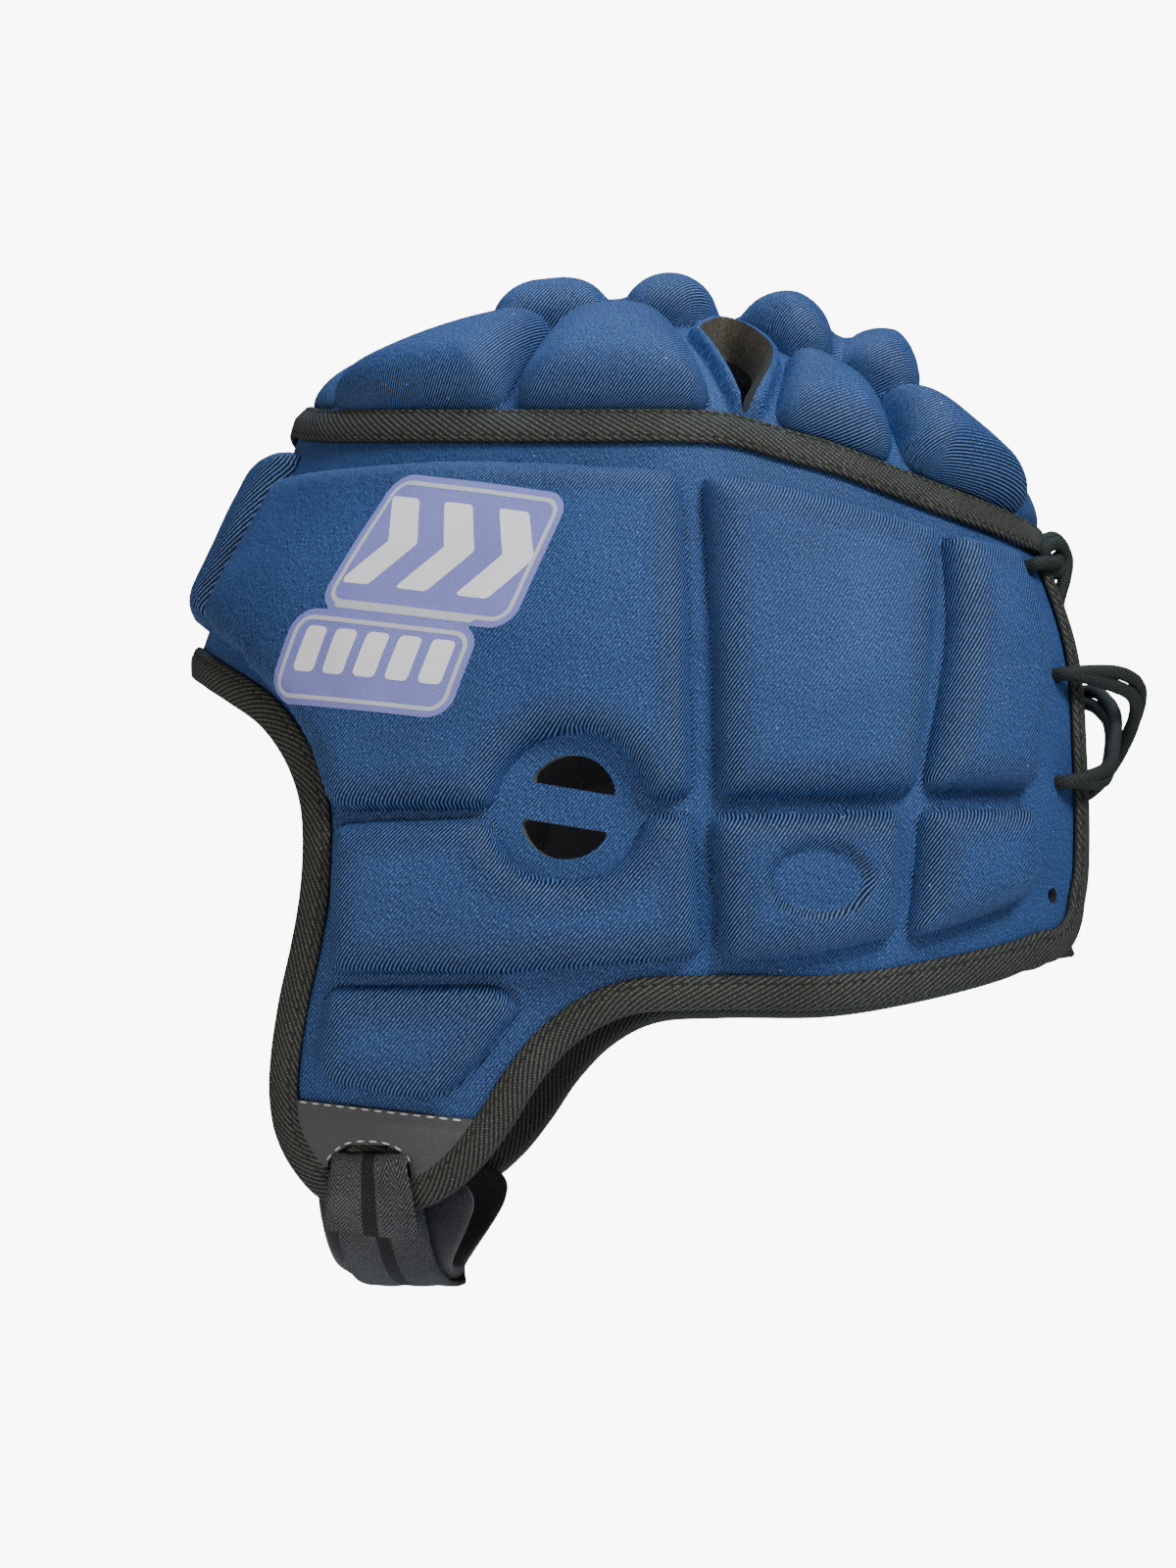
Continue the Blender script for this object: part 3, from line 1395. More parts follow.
    def build(self, shop: Workshop) -> None:
        """Makes the band as one padded piece."""
        form = self.form
        low = (0.0, -0.975 * form.depth)
        high = (form.half_girth, -0.085 * form.depth)
        bm = flat_grid(low, high, self.cell)
        gather(bm, self.pad_depth, self.pad_edge)
        crease_sheet(bm, self.pad_depth)
        cut_sheet(bm, self.cloth_field)
        everything = bm.verts[:] + bm.edges[:] + bm.faces[:]
        bmesh.ops.mirror(bm, geom=everything, merge_dist=1e-3, axis="X")
        bmesh.ops.recalc_face_normals(bm, faces=bm.faces)
        thicken(bm, rim_material=1)
        extra = slope_extra(self.pad_edge, self.relief)
        lay_padded_uv(bm, self.pad_fields(), extra, lambda flat: flat[:, :2], (1.0, -0.3))
        line_lining(bm, 2)
        self.darken_holes(bm)
        wrap(bm, self.place, self.stretch)
        finishes = [NAVY_KNIT, CUT_FOAM, BRUSHED_LINING]
        shop.piece("band", bm, finishes, ("band_shell",))

    def darken_holes(self, bm: bmesh.types.BMesh) -> None:
        """Lines the lace holes' walls with black cloth, while the mesh is flat."""
        holes = [(self.eyelet_place(eyelet)[2], -eyelet.drop * self.form.depth) for eyelet in self.eyelets]
        for face in bm.faces:
            s, z, _ = face.calc_center_median()
            away = min(math.hypot(abs(s) - hole_s, z - hole_z) for hole_s, hole_z in holes)
            if face.material_index == 1 and away < 1.5 * self.eyelet_radius:
                face.material_index = 2


# The crown


@dataclass
class Crown:
    """The padded crown, with its two vents."""

    form: HeadForm
    edge: EdgeSizes
    relief: float = 12.5
    pad_edge: float = 13.5
    corner_power: float = 4.5
    pad_grow: float = 0.6
    turn: float = 2.0
    rim_margin: float = 0.7
    vent_margin: float = 3.6
    vent_ring: float = 3.2
    vent_rise: float = 4.0
    vent_deep: float = 6.0
    vent_narrow: float = 2.5
    vent_corner: float = 2.0
    quilt: float = 1.0
    waves: Rows = ((0.5, 19.0, 5.0), (0.12, 6.0, 2.0))
    crowding: float = 0.82
    across: int = 160
    along: int = 210
    vent: Rows = (
        (0.37, 0.155), (0.375, 0.2), (0.5, 0.268), (0.6, 0.27), (0.8, 0.215), (0.68, 0.165),
        (0.52, 0.108),
    )
    pads: tuple[Rows, ...] = (
        ((0.42, -0.8), (0.42, -0.19), (0.95, -0.335), (0.95, -0.8)),
        ((0.45, -0.165), (0.45, 0.02), (0.95, 0.205), (0.95, -0.31)),
        ((0.46, 0.3), (0.46, 0.475), (0.95, 0.64), (0.95, 0.254)),
        ((0.38, 0.5), (0.14, 0.96), (0.95, 0.96), (0.95, 0.672)),
        ((-0.395, -0.8), (-0.395, -0.357), (0.395, -0.357), (0.395, -0.8)),
        ((-0.4, -0.333), (-0.4, -0.085), (0.4, -0.085), (0.4, -0.333)),
        ((-0.4, -0.06), (-0.4, 0.145), (0.4, 0.145), (0.4, -0.06)),
        ((-0.42, 0.2), (-0.42, 0.395), (0.42, 0.395), (0.42, 0.2)),
        ((-0.4, 0.42), (-0.36, 0.58), (0.36, 0.58), (0.4, 0.42)),
        ((-0.32, 0.605), (-0.12, 0.96), (0.12, 0.96), (0.32, 0.605)),
    )
    pad_shares: tuple[float, ...] = (1.0, 0.95, 0.85, 1.2, 0.45, 1.08, 1.05, 1.1, 1.2, 0.4)
    beds: tuple[Rows, ...] = (
        ((-0.4, -0.36), (-0.4, 0.16), (0.4, 0.16), (0.4, -0.36)),
        ((-0.4, 0.18), (-0.34, 0.6), (0.34, 0.6), (0.4, 0.18)),
    )
    bed_share: float = 0.5

    def plan(self, corners: Rows) -> np.ndarray:
        """Corners as seen from above, in millimetres."""
        rows = np.array(corners)
        return np.stack([rows[:, 0] * self.form.half_width, self.form.along_to_y(rows[:, 1])], axis=1)

    def sides(self, corners: Rows, p: np.ndarray) -> list[np.ndarray]:
        """Distance inside each side of an outline, as seen from above."""
        outline = self.plan(corners)
        pairs = zip(outline, np.roll(outline, -1, axis=0))
        return [inside_side(np.array(pair), np.abs(p[:, 0]), p[:, 1]) for pair in pairs]

    def vent_inside(self, p: np.ndarray) -> np.ndarray:
        """Distance inside the vent, as seen from above."""
        return rounded_inside(self.sides(self.vent, p), self.vent_corner)

    def to_rim(self, flat: np.ndarray) -> np.ndarray:
        """Distance from the seam tape's edge."""
        rho, turn = self.form.disc(flat[:, 0], flat[:, 1])
        away = np.linalg.norm(self.form.dome(rho, turn) - self.form.seam(turn), axis=1)
        return away - self.edge.tape_width / 2 - self.rim_margin

    def inside_pad(self, corners: Rows, flat: np.ndarray) -> np.ndarray:
        """Distance inside one pad's rounded outline at places on the flat square."""
        p = self.form.crown(flat[:, 0], flat[:, 1])
        sides = [side + self.pad_grow for side in self.sides(corners, p)]
        vent = -self.vent_inside(p) - self.vent_margin
        return rounded_inside([*sides, vent, self.to_rim(flat)], self.pad_edge, self.corner_power)

    def pad_fields(self) -> list[Field]:
        """The distance inside each pad."""
        return [partial(self.inside_pad, corners) for corners in self.pads]

    def pad_depth(self, flat: np.ndarray) -> np.ndarray:
        """Distance inside the nearest pad, below 0 in the grooves."""
        return np.maximum.reduce([pad(flat) for pad in self.pad_fields()])

    def soft(self, flat: np.ndarray) -> np.ndarray:
        """The pads' height as a share of their full one."""
        found = np.zeros(len(flat))
        beds = [(partial(self.inside_pad, corners), self.bed_share) for corners in self.beds]
        for pad, high in [*zip(self.pad_fields(), self.pad_shares), *beds]:
            share = np.clip(pad(flat) / self.pad_edge, 0, 1)
            found = np.maximum(found, high * np.sqrt(1 - (1 - share) ** 2))
        return found

    def stretch(self, flat: np.ndarray) -> np.ndarray:
        """How far the knit is stretched over a pad's edge, from 0 to 1."""
        depth = self.pad_depth(flat)
        return np.where(depth > 0, np.clip(1 - depth / self.pad_edge, 0, 1) ** 1.5, 0.0)

    def cloth_field(self, flat: np.ndarray) -> np.ndarray:
        """Above 0 where the crown has cloth, on the flat square."""
        return -self.vent_inside(self.form.crown(flat[:, 0], flat[:, 1]))

    def layout(self, flat: np.ndarray) -> np.ndarray:
        """The crown's cloth laid flat: the way back first, then the way up on the wearer's left."""
        length = self.form.dome_length(*self.form.disc(flat[:, 0], flat[:, 1]))
        p = self.form.crown(flat[:, 0], flat[:, 1])
        turn = np.arctan2(np.abs(p[:, 0]), self.form.widest_y - p[:, 1]) + math.radians(self.turn)
        return np.stack([-length * np.cos(turn), -length * np.sin(turn)], axis=1)

    def place(self, flat: np.ndarray) -> np.ndarray:
        """Flat places of the crown to points: height 0 is the outer cloth and -1 the lining."""
        u, v = flat[:, 0], flat[:, 1]
        base = self.form.crown(u, v)
        soft = self.soft(flat[:, :2])
        ring = np.clip((self.vent_ring + self.vent_inside(base)) / (0.6 * self.vent_ring), 0, 1)
        ring = np.sqrt(1 - (1 - ring) ** 2) * np.clip(self.to_rim(flat[:, :2]) / 5, 0, 1)
        lift = np.maximum(self.relief * soft, self.vent_rise * ring) + soft * crumple(base, self.waves)
        outer = base + self.form.crown_normal(u, v) * lift[:, None]
        inset = self.form.wall - self.quilt * (1 - soft) + self.vent_deep * ring
        inner = self.form.crown(u, v, inset)
        mirror = np.stack([np.sign(inner[:, 0]), np.ones(len(inner))], axis=1)
        to_centre = unit(self.plan(self.vent).mean(axis=0) * mirror - inner[:, :2])
        inner[:, :2] += to_centre * (self.vent_narrow * ring)[:, None]
        return np.where(flat[:, 2:3] < -0.5, inner, outer)

    def build(self, shop: Workshop) -> None:
        """Makes the crown as one padded piece."""
        bm = bmesh.new()
        bmesh.ops.create_grid(bm, x_segments=self.across, y_segments=self.along, size=1.0)
        bend = math.pi / 2 * self.crowding
        for vert in bm.verts:
            for axis in (0, 1):
                vert.co[axis] = math.sin(bend * vert.co[axis]) / math.sin(bend)
        crease_sheet(bm, self.pad_depth)
        cut_sheet(bm, self.cloth_field)
        thicken(bm, rim_material=1)
        line_lining(bm, 2)
        extra = slope_extra(self.pad_edge, self.relief)
        lay_padded_uv(bm, self.pad_fields(), extra, self.layout, (1.0, 1.0))
        wrap(bm, self.place, self.stretch)
        finishes = [NAVY_KNIT, CUT_FOAM, BRUSHED_LINING]
        shop.piece("crown", bm, finishes, ("crown_shell",))


# Sewn tapes


@dataclass
class Bindings:
    """The tape over the crown seam and the tape round the band's edge, with their stitches."""

    form: HeadForm
    edge: EdgeSizes
    stitch_length: float = 2.3
    stitch_gap: float = 1.1
    thread_radius: float = 0.28
    seam_rows: int = 420
    seam_columns: int = 15
    stitch_columns: tuple[int, int] = (2, 12)
    tape_crown: float = 0.35
    stitch_sink: float = 0.35
    edge_round: float = 0.5

    def seam_tape(self, shop: Workshop) -> None:
        """Makes the tape over the seam between crown and band."""
        form, edge = self.form, self.edge
        count = self.seam_rows
        turn = 2 * math.pi * (np.arange(count) + 0.5) / count - math.pi
        rim = form.seam(turn)
        low, high = np.full(count, 0.8), np.full(count, 1.0)
        for _ in range(20):
            rho = (low + high) / 2
            far = np.linalg.norm(form.dome(rho, turn) - rim, axis=1) > edge.tape_width / 2
            low, high = np.where(far, rho, low), np.where(far, high, rho)
        upper = form.dome(low, turn)
        lower = form.body(turn, rim[:, 2] - edge.tape_width / 2)
        around = form.dome(low, turn + 0.01) - form.dome(low, turn - 0.01)
        rise = form.dome(low - 0.001, turn) - upper
        upper_normal = unit(np.cross(around, rise))
        lower_normal = form.normal(lower)
        middle_normal = unit(upper_normal + lower_normal)
        rings = []
        for k in np.linspace(-1, 1, self.seam_columns):
            share = abs(k)
            end, end_normal = (upper, upper_normal) if k < 0 else (lower, lower_normal)
            base = rim + (end - rim) * share
            normal = unit(middle_normal + (end_normal - middle_normal) * share)
            sink = self.stitch_sink if 0.62 < share < 0.78 else 0.0
            sink += self.edge_round * max(share - 0.86, 0) / 0.14
            lift = edge.seam_clearance + edge.seam_tape_thickness - sink
            rings.append(base + normal * (lift + self.tape_crown * (1 - share**2)))
        for k in (1, 0, -1):
            end, end_normal = ((upper, upper_normal), (rim, middle_normal), (lower, lower_normal))[k + 1]
            rings.append(end + end_normal * (edge.seam_clearance - 0.3))
        loops = np.stack(rings, axis=1)
        along = lengths_along(rim)
        across = np.concatenate([lengths_along(loops[0]), [2.2 * edge.tape_width]])
        body = tube(loops, along, across, closed=True)
        shop.piece("seam_tape", body, [TWILL_TAPE], ("seam_binding",))
        sides = (("upper", upper_normal), ("lower", lower_normal))
        for (label, normal), column in zip(sides, self.stitch_columns):
            line = loops[:, column]
            line, normal = np.concatenate([line, line[:1]]), np.concatenate([normal, normal[:1]])
            self.stitches(shop, f"seam_stitches_{label}", line, normal)

    def stitches(
        self,
        shop: Workshop,
        name: str,
        line: np.ndarray,
        normal: np.ndarray,
        finish: Finish = DARK_THREAD,
        slot: str = "binding_tape",
    ) -> None:
        """Makes a row of stitches along a line.

        Args:
            shop: makes the piece.
            name: the piece's name.
            line: the line's points.
            normal: the outward direction at each of them.
            finish: the thread.
            slot: the record's material slot.
        """
        along = lengths_along(line)
        step = self.stitch_length + self.stitch_gap
        count = int(along[-1] / step)
        bm = bmesh.new()
        layer = bm.loops.layers.uv.new("layout")
        radius = self.thread_radius
        for i in range(count):
            at = (i + 0.5) * along[-1] / count + np.array([-0.5, 0.0, 0.5]) * self.stitch_length
            points = np.stack([np.interp(at, along, line[:, k]) for k in range(3)], axis=1)
            out = np.array([np.interp(at[1], along, normal[:, k]) for k in range(3)])
            way = unit((points[2] - points[0])[None])[0]
            side = np.cross(out, way)
            axes = np.stack([side * radius, out * radius, way * self.stitch_length / 2]) * MM
            middle = (points[1] + out * 0.4 * radius) * MM
            frame = Matrix([*([*axes[:, k], middle[k]] for k in range(3)), [0, 0, 0, 1]])
            bmesh.ops.create_uvsphere(bm, u_segments=6, v_segments=4, radius=1.0, matrix=frame)
        for face in bm.faces:
            for loop in face.loops:
                loop[layer].uv = (loop.vert.co.y, loop.vert.co.z)
        bmesh.ops.recalc_face_normals(bm, faces=bm.faces)
        shop.piece(name, bm, [finish])

    def edge_line(self) -> np.ndarray:
        """The cut edge of the band on the wearer's left, from the back gap's top to the brow's middle."""
        form, edge = self.form, self.edge
        top = float(form.seam(np.array([math.pi]))[0, 2]) - edge.tape_width / 2 - 3 * edge.clearance
        side = edge.gap_side(form, top)[:-1]
        points = [[x, float(edge.back_y(form, np.array([x]), np.array([z]))[0]), z] for x, z in side]
        line = edge.outline(form, edge.reach)
        nape = line[line[:, 0] > form.widest_y]
        ahead = line[: int(np.argmax(line[:, 1] < -0.44 * form.depth))]
        corner, corner_z = edge.gap_bottom + edge.corner_radius, side[-1, 1]
        corner_y = float(edge.back_y(form, np.array([corner]), np.array([corner_z]))[0])
        start = np.array([[corner, corner_y, corner_z]])
        napes = np.linspace(float(form.length_at(form.turn_of(start))[0]), 0.66 * form.half_girth, 14)
        points += self.meet(form.turn_at(napes), nape, corner_z)
        under = line[line[:, 0] < points[-1][1] - 3.0]
        brow_from = 0.17 * form.half_girth
        brow = self.meet(form.turn_at(np.linspace(brow_from, 0.0, 12)), ahead, -0.42 * form.depth)
        for y, z in under[::-1]:
            past_brow = z > brow[0][2] - 2.0 and y < brow[0][1] + 25
            if past_brow or form.level(np.array([[0.0, y, z]]), 0.0)[1][0] >= 0.999:
                continue
            points.append([form.side_x(y, z), y, z])
        points += brow
        return np.array(points)

    def meet(self, turns: np.ndarray, line: np.ndarray, start_z: float) -> list[list[float]]:
        """Points of the surface at given angles, at the height of a side view line."""
        order = np.argsort(line[:, 0])
        z = np.full(len(turns), start_z)
        p = self.form.body(turns, z)
        for _ in range(25):
            z = np.interp(p[:, 1], line[order, 0], line[order, 1])
            p = self.form.body(turns, z)
        return [list(q) for q in p]

    def edge_tape(self, shop: Workshop) -> None:
        """Makes the tape folded over the band's edge, and its stitches."""
        form, edge = self.form, self.edge
        right = smooth_line(self.edge_line(), 2.2)
        right[-1, 0] = 0.0
        left = right[:-1][::-1] * [-1, 1, 1]
        line = np.concatenate([right, left])
        line = form.on_surface(line, 0.0)
        tangent = tangents_of(line)
        normal = form.normal(line)
        away = unit(np.cross(normal, tangent))
        skin = edge.clearance + edge.tape_thickness
        lining = edge.lining_clearance + edge.tape_thickness
        flap = edge.tape_width - edge.reach
        inner = form.on_surface(line - normal * form.wall, form.wall)

        def on(base: np.ndarray, inset: float, depth: float, lift: float) -> np.ndarray:
            p = form.on_surface(base - away * inset, depth)
            return p + form.normal(p) * lift

        rings = []
        for inset in np.linspace(flap, 0.4, 8):
            share = 1 - inset / flap
            puff = 0.55 * math.sin(math.pi * min(share * 1.1, 1.0))
            sink = 0.3 if 0.22 < share < 0.36 else 0.0
            ease = 0.55 * max(0.08 - share, 0) / 0.08
            rings.append(on(line, inset, 0.0, skin + puff - sink - ease))
        half = (skin + form.wall + lining) / 2
        middle = (skin - form.wall - lining) / 2
        for turn in np.linspace(math.pi / 2, -math.pi / 2, 9)[1:-1]:
            out = edge.clearance * 0.4 + (skin + 0.15) * math.cos(turn)
            rings.append(line + away * out + normal * (middle + half * math.sin(turn)))
        for inset in np.linspace(0.4, flap, 5):
            rings.append(on(inner, inset, form.wall, -lining))
        rings.append(on(inner, flap, form.wall, -edge.lining_clearance + 0.1))
        rings.append(on(inner, 0.4, form.wall, -edge.lining_clearance + 0.1))
        rings.append(on(line, 0.4, 0.0, edge.clearance - 0.2))
        rings.append(on(line, flap, 0.0, edge.clearance - 0.2))
        loops = np.stack(rings, axis=1)
        across = np.concatenate([lengths_along(loops[20]), [2.4 * edge.tape_width]])
        body = tube(loops, lengths_along(line), across)
        shop.piece("edge_tape", body, [TWILL_TAPE], ("edge_binding",))
        self.stitches(shop, "edge_stitches", loops[:, 2], form.normal(on(line, 0.72 * flap, 0.0, 0.0)))

    def build(self, shop: Workshop) -> None:
        """Makes both tapes."""
        self.seam_tape(shop)
        self.edge_tape(shop)


# Jaw guards


@dataclass
class JawGuards:
    """The coated patches at the tips of the jaw guards, and the soft pads inside the guards."""

    form: HeadForm
    edge: EdgeSizes
    band: Band
    stitcher: Bindings
    patch_thickness: float = 0.8
    liner_thickness: float = 4.0
    liner_quilt: float = 1.6
    patch_top: Rows = ((-1.0, 0.83), (0.0, 0.886))
    patch_lap: float = 1.0
    patch_waves: Rows = ((0.12, 9.0, 4.0),)
    channel_pitch: float = 26.0
    cell: float = 0.9
    liner_cell: float = 1.6

    def below_top(self, p: np.ndarray) -> np.ndarray:
        """Distance of points below the patch's upper edge, in the side view."""
        form = self.form
        top = np.array([[float(form.along_to_y(a)), -d * form.depth] for a, d in self.patch_top])
        return -inside_side(top[::-1], p[:, 1], p[:, 2])

    def patch_field(self, flat: np.ndarray) -> np.ndarray:
        """Above 0 on the patch."""
        form, edge = self.form, self.edge
        s, z = flat[:, 0], flat[:, 1]
        p = form.panel(s, z)
        ring = edge.side_ring(form, edge.tape_width - self.patch_lap)
        outside = -outline_distance(self.band.slot, np.abs(s), z)
        return np.minimum.reduce([self.below_top(p), outline_distance(ring, p[:, 1], z), outside])

    def patch(self, shop: Workshop, side: int) -> None:
        """Makes one coated patch with its stitches."""
        form = self.form
        low = (0.24 * form.half_girth, -0.97 * form.depth)
        high = (0.45 * form.half_girth, -0.82 * form.depth)
        base = self.edge.clearance
        flip = np.array([side, 1, 1])

        def place(flat: np.ndarray) -> np.ndarray:
            s, z = flat[:, 0], flat[:, 1]
            p = form.panel(s, z)
            fold = -0.22 * np.exp(-(((self.below_top(p) - 3.0) / 0.5) ** 2)) + crumple(p, self.patch_waves)
            lift = np.where(flat[:, 2] < -0.5, base - 0.25, base + self.patch_thickness + fold)
            return (p + form.panel_normal(s, z) * lift[:, None]) * flip

        bm = cut_piece(low, high, self.cell, self.patch_field, place)
        name = "left" if side > 0 else "right"
        shop.piece(f"jaw_patch_cloth_{name}", bm, [COATED_CLOTH], (f"jaw_patch_{name}",))
        slot = self.band.slot
        arch = smooth_line(slot[1:-1], 1.0)
        arch = arch + unit(arch - slot.mean(axis=0)) * 0.5
        for label, line in (("arch", arch), ("top", self.top_seam())):
            normal = form.panel_normal(line[:, 0], line[:, 1])
            points = form.panel(line[:, 0], line[:, 1]) + normal * (base + self.patch_thickness)
            label = f"patch_{label}_stitches_{name}"
            self.stitcher.stitches(shop, label, points * flip, normal * flip, WHITE_THREAD, "patch_vinyl")

    def top_seam(self) -> np.ndarray:
        """The seam along the patch's upper edge, on the flat panel."""
        form = self.form
        ends = np.array([[float(form.along_to_y(a)), -d * form.depth] for a, d in self.patch_top])
        seam = []
        for y in np.arange(-88.0, -40.0, 1.0):
            z = float(np.interp(y, ends[:, 0], ends[:, 1])) - 0.35
            p = np.array([[form.side_x(y, z), y, z]])
            seam.append([float(form.length_at(form.turn_of(p))[0]), z])
        seam = np.array(seam)
        return seam[self.patch_field(seam) > 0.2]

    def liner_field(self, flat: np.ndarray) -> np.ndarray:
        """Above 0 on the pad inside a guard."""
        form, edge = self.form, self.edge
        s, z = flat[:, 0], flat[:, 1]
        p = form.panel(s, z)
        ring = edge.side_ring(form, edge.tape_width + 2.0 * edge.clearance)
        sides = [
            outline_distance(ring, p[:, 1], z),
            0.12 * form.back_reach - p[:, 1],
            -0.6 * form.depth - z,
            z + 0.885 * form.depth,
        ]
        return rounded_inside(sides, 5.0)

    def liner(self, shop: Workshop, side: int) -> None:
        """Makes the soft pad inside one guard."""
        form, edge = self.form, self.edge
        low = (0.2 * form.half_girth, -0.9 * form.depth)
        high = (0.56 * form.half_girth, -0.59 * form.depth)

        def place(flat: np.ndarray) -> np.ndarray:
            s, z = flat[:, 0], flat[:, 1]
            u = np.clip(self.liner_field(flat[:, :2]) / 4.0, 0, 1)
            puff = np.sqrt(1 - (1 - u) ** 2)
            half = self.channel_pitch / 2
            channel = np.exp(-((np.mod(z + 0.72 * form.depth + half, 2 * half) - half) ** 2) / 3.0)
            thick = 1.0 + (self.liner_thickness - 1.0) * puff - self.liner_quilt * channel * u
            inset = form.wall + edge.lining_clearance + np.where(flat[:, 2] < -0.5, thick, 0.0)
            return form.panel(s, z, inset) * [side, 1, 1]

        bm = cut_piece(low, high, self.liner_cell, self.liner_field, place)
        name = "left" if side > 0 else "right"
        shop.piece(f"cheek_pad_{name}", bm, [BRUSHED_LINING], (f"cheek_liner_{name}",))

    def build(self, shop: Workshop) -> None:
        """Makes the patches and pads of both guards."""
        for side in (1, -1):
            self.patch(shop, side)
            self.liner(shop, side)


# The chin strap


@dataclass
class ChinStrap:
    """The webbing loop through both guards, and the pad on it under the chin."""

    form: HeadForm
    edge: EdgeSizes
    width: float = 25.0
    thickness: float = 1.6
    slot_pinch: float = 4.5
    pad_width: float = 34.0
    pad_rear: tuple[float, float] = (12.0, 33.0)
    pad_thickness: float = 5.0
    pad_length: float = 116.0
    centre: tuple[float, float] = (0.3195, 0.968)
    chin_shift: float = 6.0
    hang: float = 21.0
    slot_drop: float = 0.905
    columns: int = 21
    webbing_pucker: float = 0.3
    pad_pucker: float = 0.6
    pad_dome: float = 1.4
    pad_waves: Rows = ((0.5, 6.0, 8.0),)

    def tip(self) -> np.ndarray:
        """The guard's tip on the wearer's left."""
        s = np.array([self.centre[0] * self.form.half_girth])
        return self.form.panel(s, np.array([-self.centre[1] * self.form.depth]))[0]

    def half_route(self) -> list[tuple[float, float]]:
        """The strap's line on one side as x and z, from under the chin to its sewn end."""
        tip = self.tip()
        low = tip[2] - self.hang
        slot_z = -self.slot_drop * self.form.depth
        edge = self.edge
        tape = edge.tape_thickness + self.thickness / 2
        inside = self.form.wall + edge.lining_clearance + tape + 2.4 * edge.clearance
        outside = tape + 3 * edge.clearance
        x = partial(self.form.side_x, float(tip[1]))
        return [
            (0.0, low),
            (0.3 * tip[0], low + 1.2),
            (0.55 * tip[0], low + 5.4),
            (0.73 * tip[0], low + 12.5),
            (x(tip[2]) - inside, tip[2] + 0.5),
            (x(tip[2] + 8) - inside, tip[2] + 8),
            (x(slot_z - 2.7) - inside, slot_z - 2.7),
            (x(slot_z) - self.form.wall / 2, slot_z),
            (x(slot_z - 2.6) + outside, slot_z - 2.6),
            (x(tip[2] + 8) + outside, tip[2] + 6),
            (x(tip[2] + 2) + outside, tip[2] + 0.5),
            (x(tip[2]) + 0.4, tip[2] - 5.0),
        ]

    def points(self, route: list[tuple[float, float]]) -> np.ndarray:
        """Points of the strap from its x and z."""
        tip = self.tip()
        rows = np.array(route)
        y = tip[1] + self.chin_shift * (1 - np.minimum(np.abs(rows[:, 0]) / tip[0], 1))
        return np.stack([rows[:, 0], y, rows[:, 1]], axis=1)

    def ribbon(
        self,
        line: np.ndarray,
        front: np.ndarray,
        rear: np.ndarray,
        thickness: float,
        rise: np.ndarray,
        pucker: float = 0.0,
    ) -> bmesh.types.BMesh:
        """A flat strap along a line.

        Args:
            line: the strap's middle line.
            front: its width ahead of the line, at each point of the line.
            rear: its width behind the line.
            thickness: its thickness.
            rise: extra thickness at each point of the line, for a pad.
            pucker: how deep the folds along it are.

        Returns:
            The mesh.
        """
        tip = self.tip()
        tangent = tangents_of(line)
        wide = np.stack([0.24 * line[:, 0] / tip[0], np.ones(len(line)), np.zeros(len(line))], axis=1)
        wide = unit(wide - tangent * np.sum(wide * tangent, axis=1)[:, None])
        normal = np.cross(wide, tangent)
        columns = self.columns
        fold = pucker * ripple(line, 9.0, 1.0)
        rings = []
        for sign in (-1, 1):
            for k in np.linspace(-1, 1, columns) * -sign:
                lift = thickness / 2 * (1 - 0.45 * max(abs(k) - 0.9, 0) / 0.1)
                dome = rise * (1 - k**4) * max(sign, 0)
                sway = fold * math.cos(2.5 * math.pi * k) + 0.5 * pucker * math.sin(9 * k)
                reach = np.where(k < 0, front, rear) * k
                rings.append(line + wide * reach[:, None] + normal * (sign * (lift + dome) + sway)[:, None])
        loops = np.stack(rings, axis=1)
        width = float(np.max(front + rear))
        around = np.concatenate([np.linspace(width, 0, columns), np.linspace(0, width, columns), [width]])
        return tube(loops, lengths_along(line), around)

    def build(self, shop: Workshop) -> None:
        """Makes the strap and its pad."""
        half = self.half_route()
        other = [(-x, z) for x, z in half[:0:-1]]
        line = smooth_line(self.points(other + half), 1.2)
        slot_z = -self.slot_drop * self.form.depth
        pinch = self.slot_pinch * np.exp(-(((line[:, 2] - slot_z) / 9.0) ** 2))
        side = (self.width - pinch) / 2
        body = self.ribbon(line, side, side, self.thickness, np.zeros(len(line)), self.webbing_pucker)
        shop.piece("chin_webbing", body, [WEBBING], ("chin_strap",))
        inner = half[:6]
        route = smooth_line(self.points([(-x, z) for x, z in inner[:0:-1]] + inner), 1.2)
        tangent = tangents_of(route)
        lift = self.thickness / 2 + 0.5 + self.pad_thickness / 2
        raised = route + np.stack([-tangent[:, 2], np.zeros(len(route)), tangent[:, 0]], axis=1) * lift
        raised = raised[np.abs(raised[:, 0]) <= self.pad_length / 2]
        share = np.abs(np.linspace(-1, 1, len(raised)))
        dome = self.pad_dome * (np.sqrt(np.clip(1 - share**6, 0, 1)) - 0.5)
        rise = dome + crumple(raised, self.pad_waves)
        front = np.full(len(raised), self.pad_width / 2)
        rear = self.pad_rear[0] + (self.pad_rear[1] - self.pad_rear[0]) * share**2.5
        rear = rear * np.sqrt(1 - 0.55 * share**10)
        body = self.ribbon(raised, front, rear, self.pad_thickness - self.pad_dome, rise, self.pad_pucker)
        shop.piece("chin_rest", body, [BRUSHED_LINING], ("chin_pad",))


# Laces


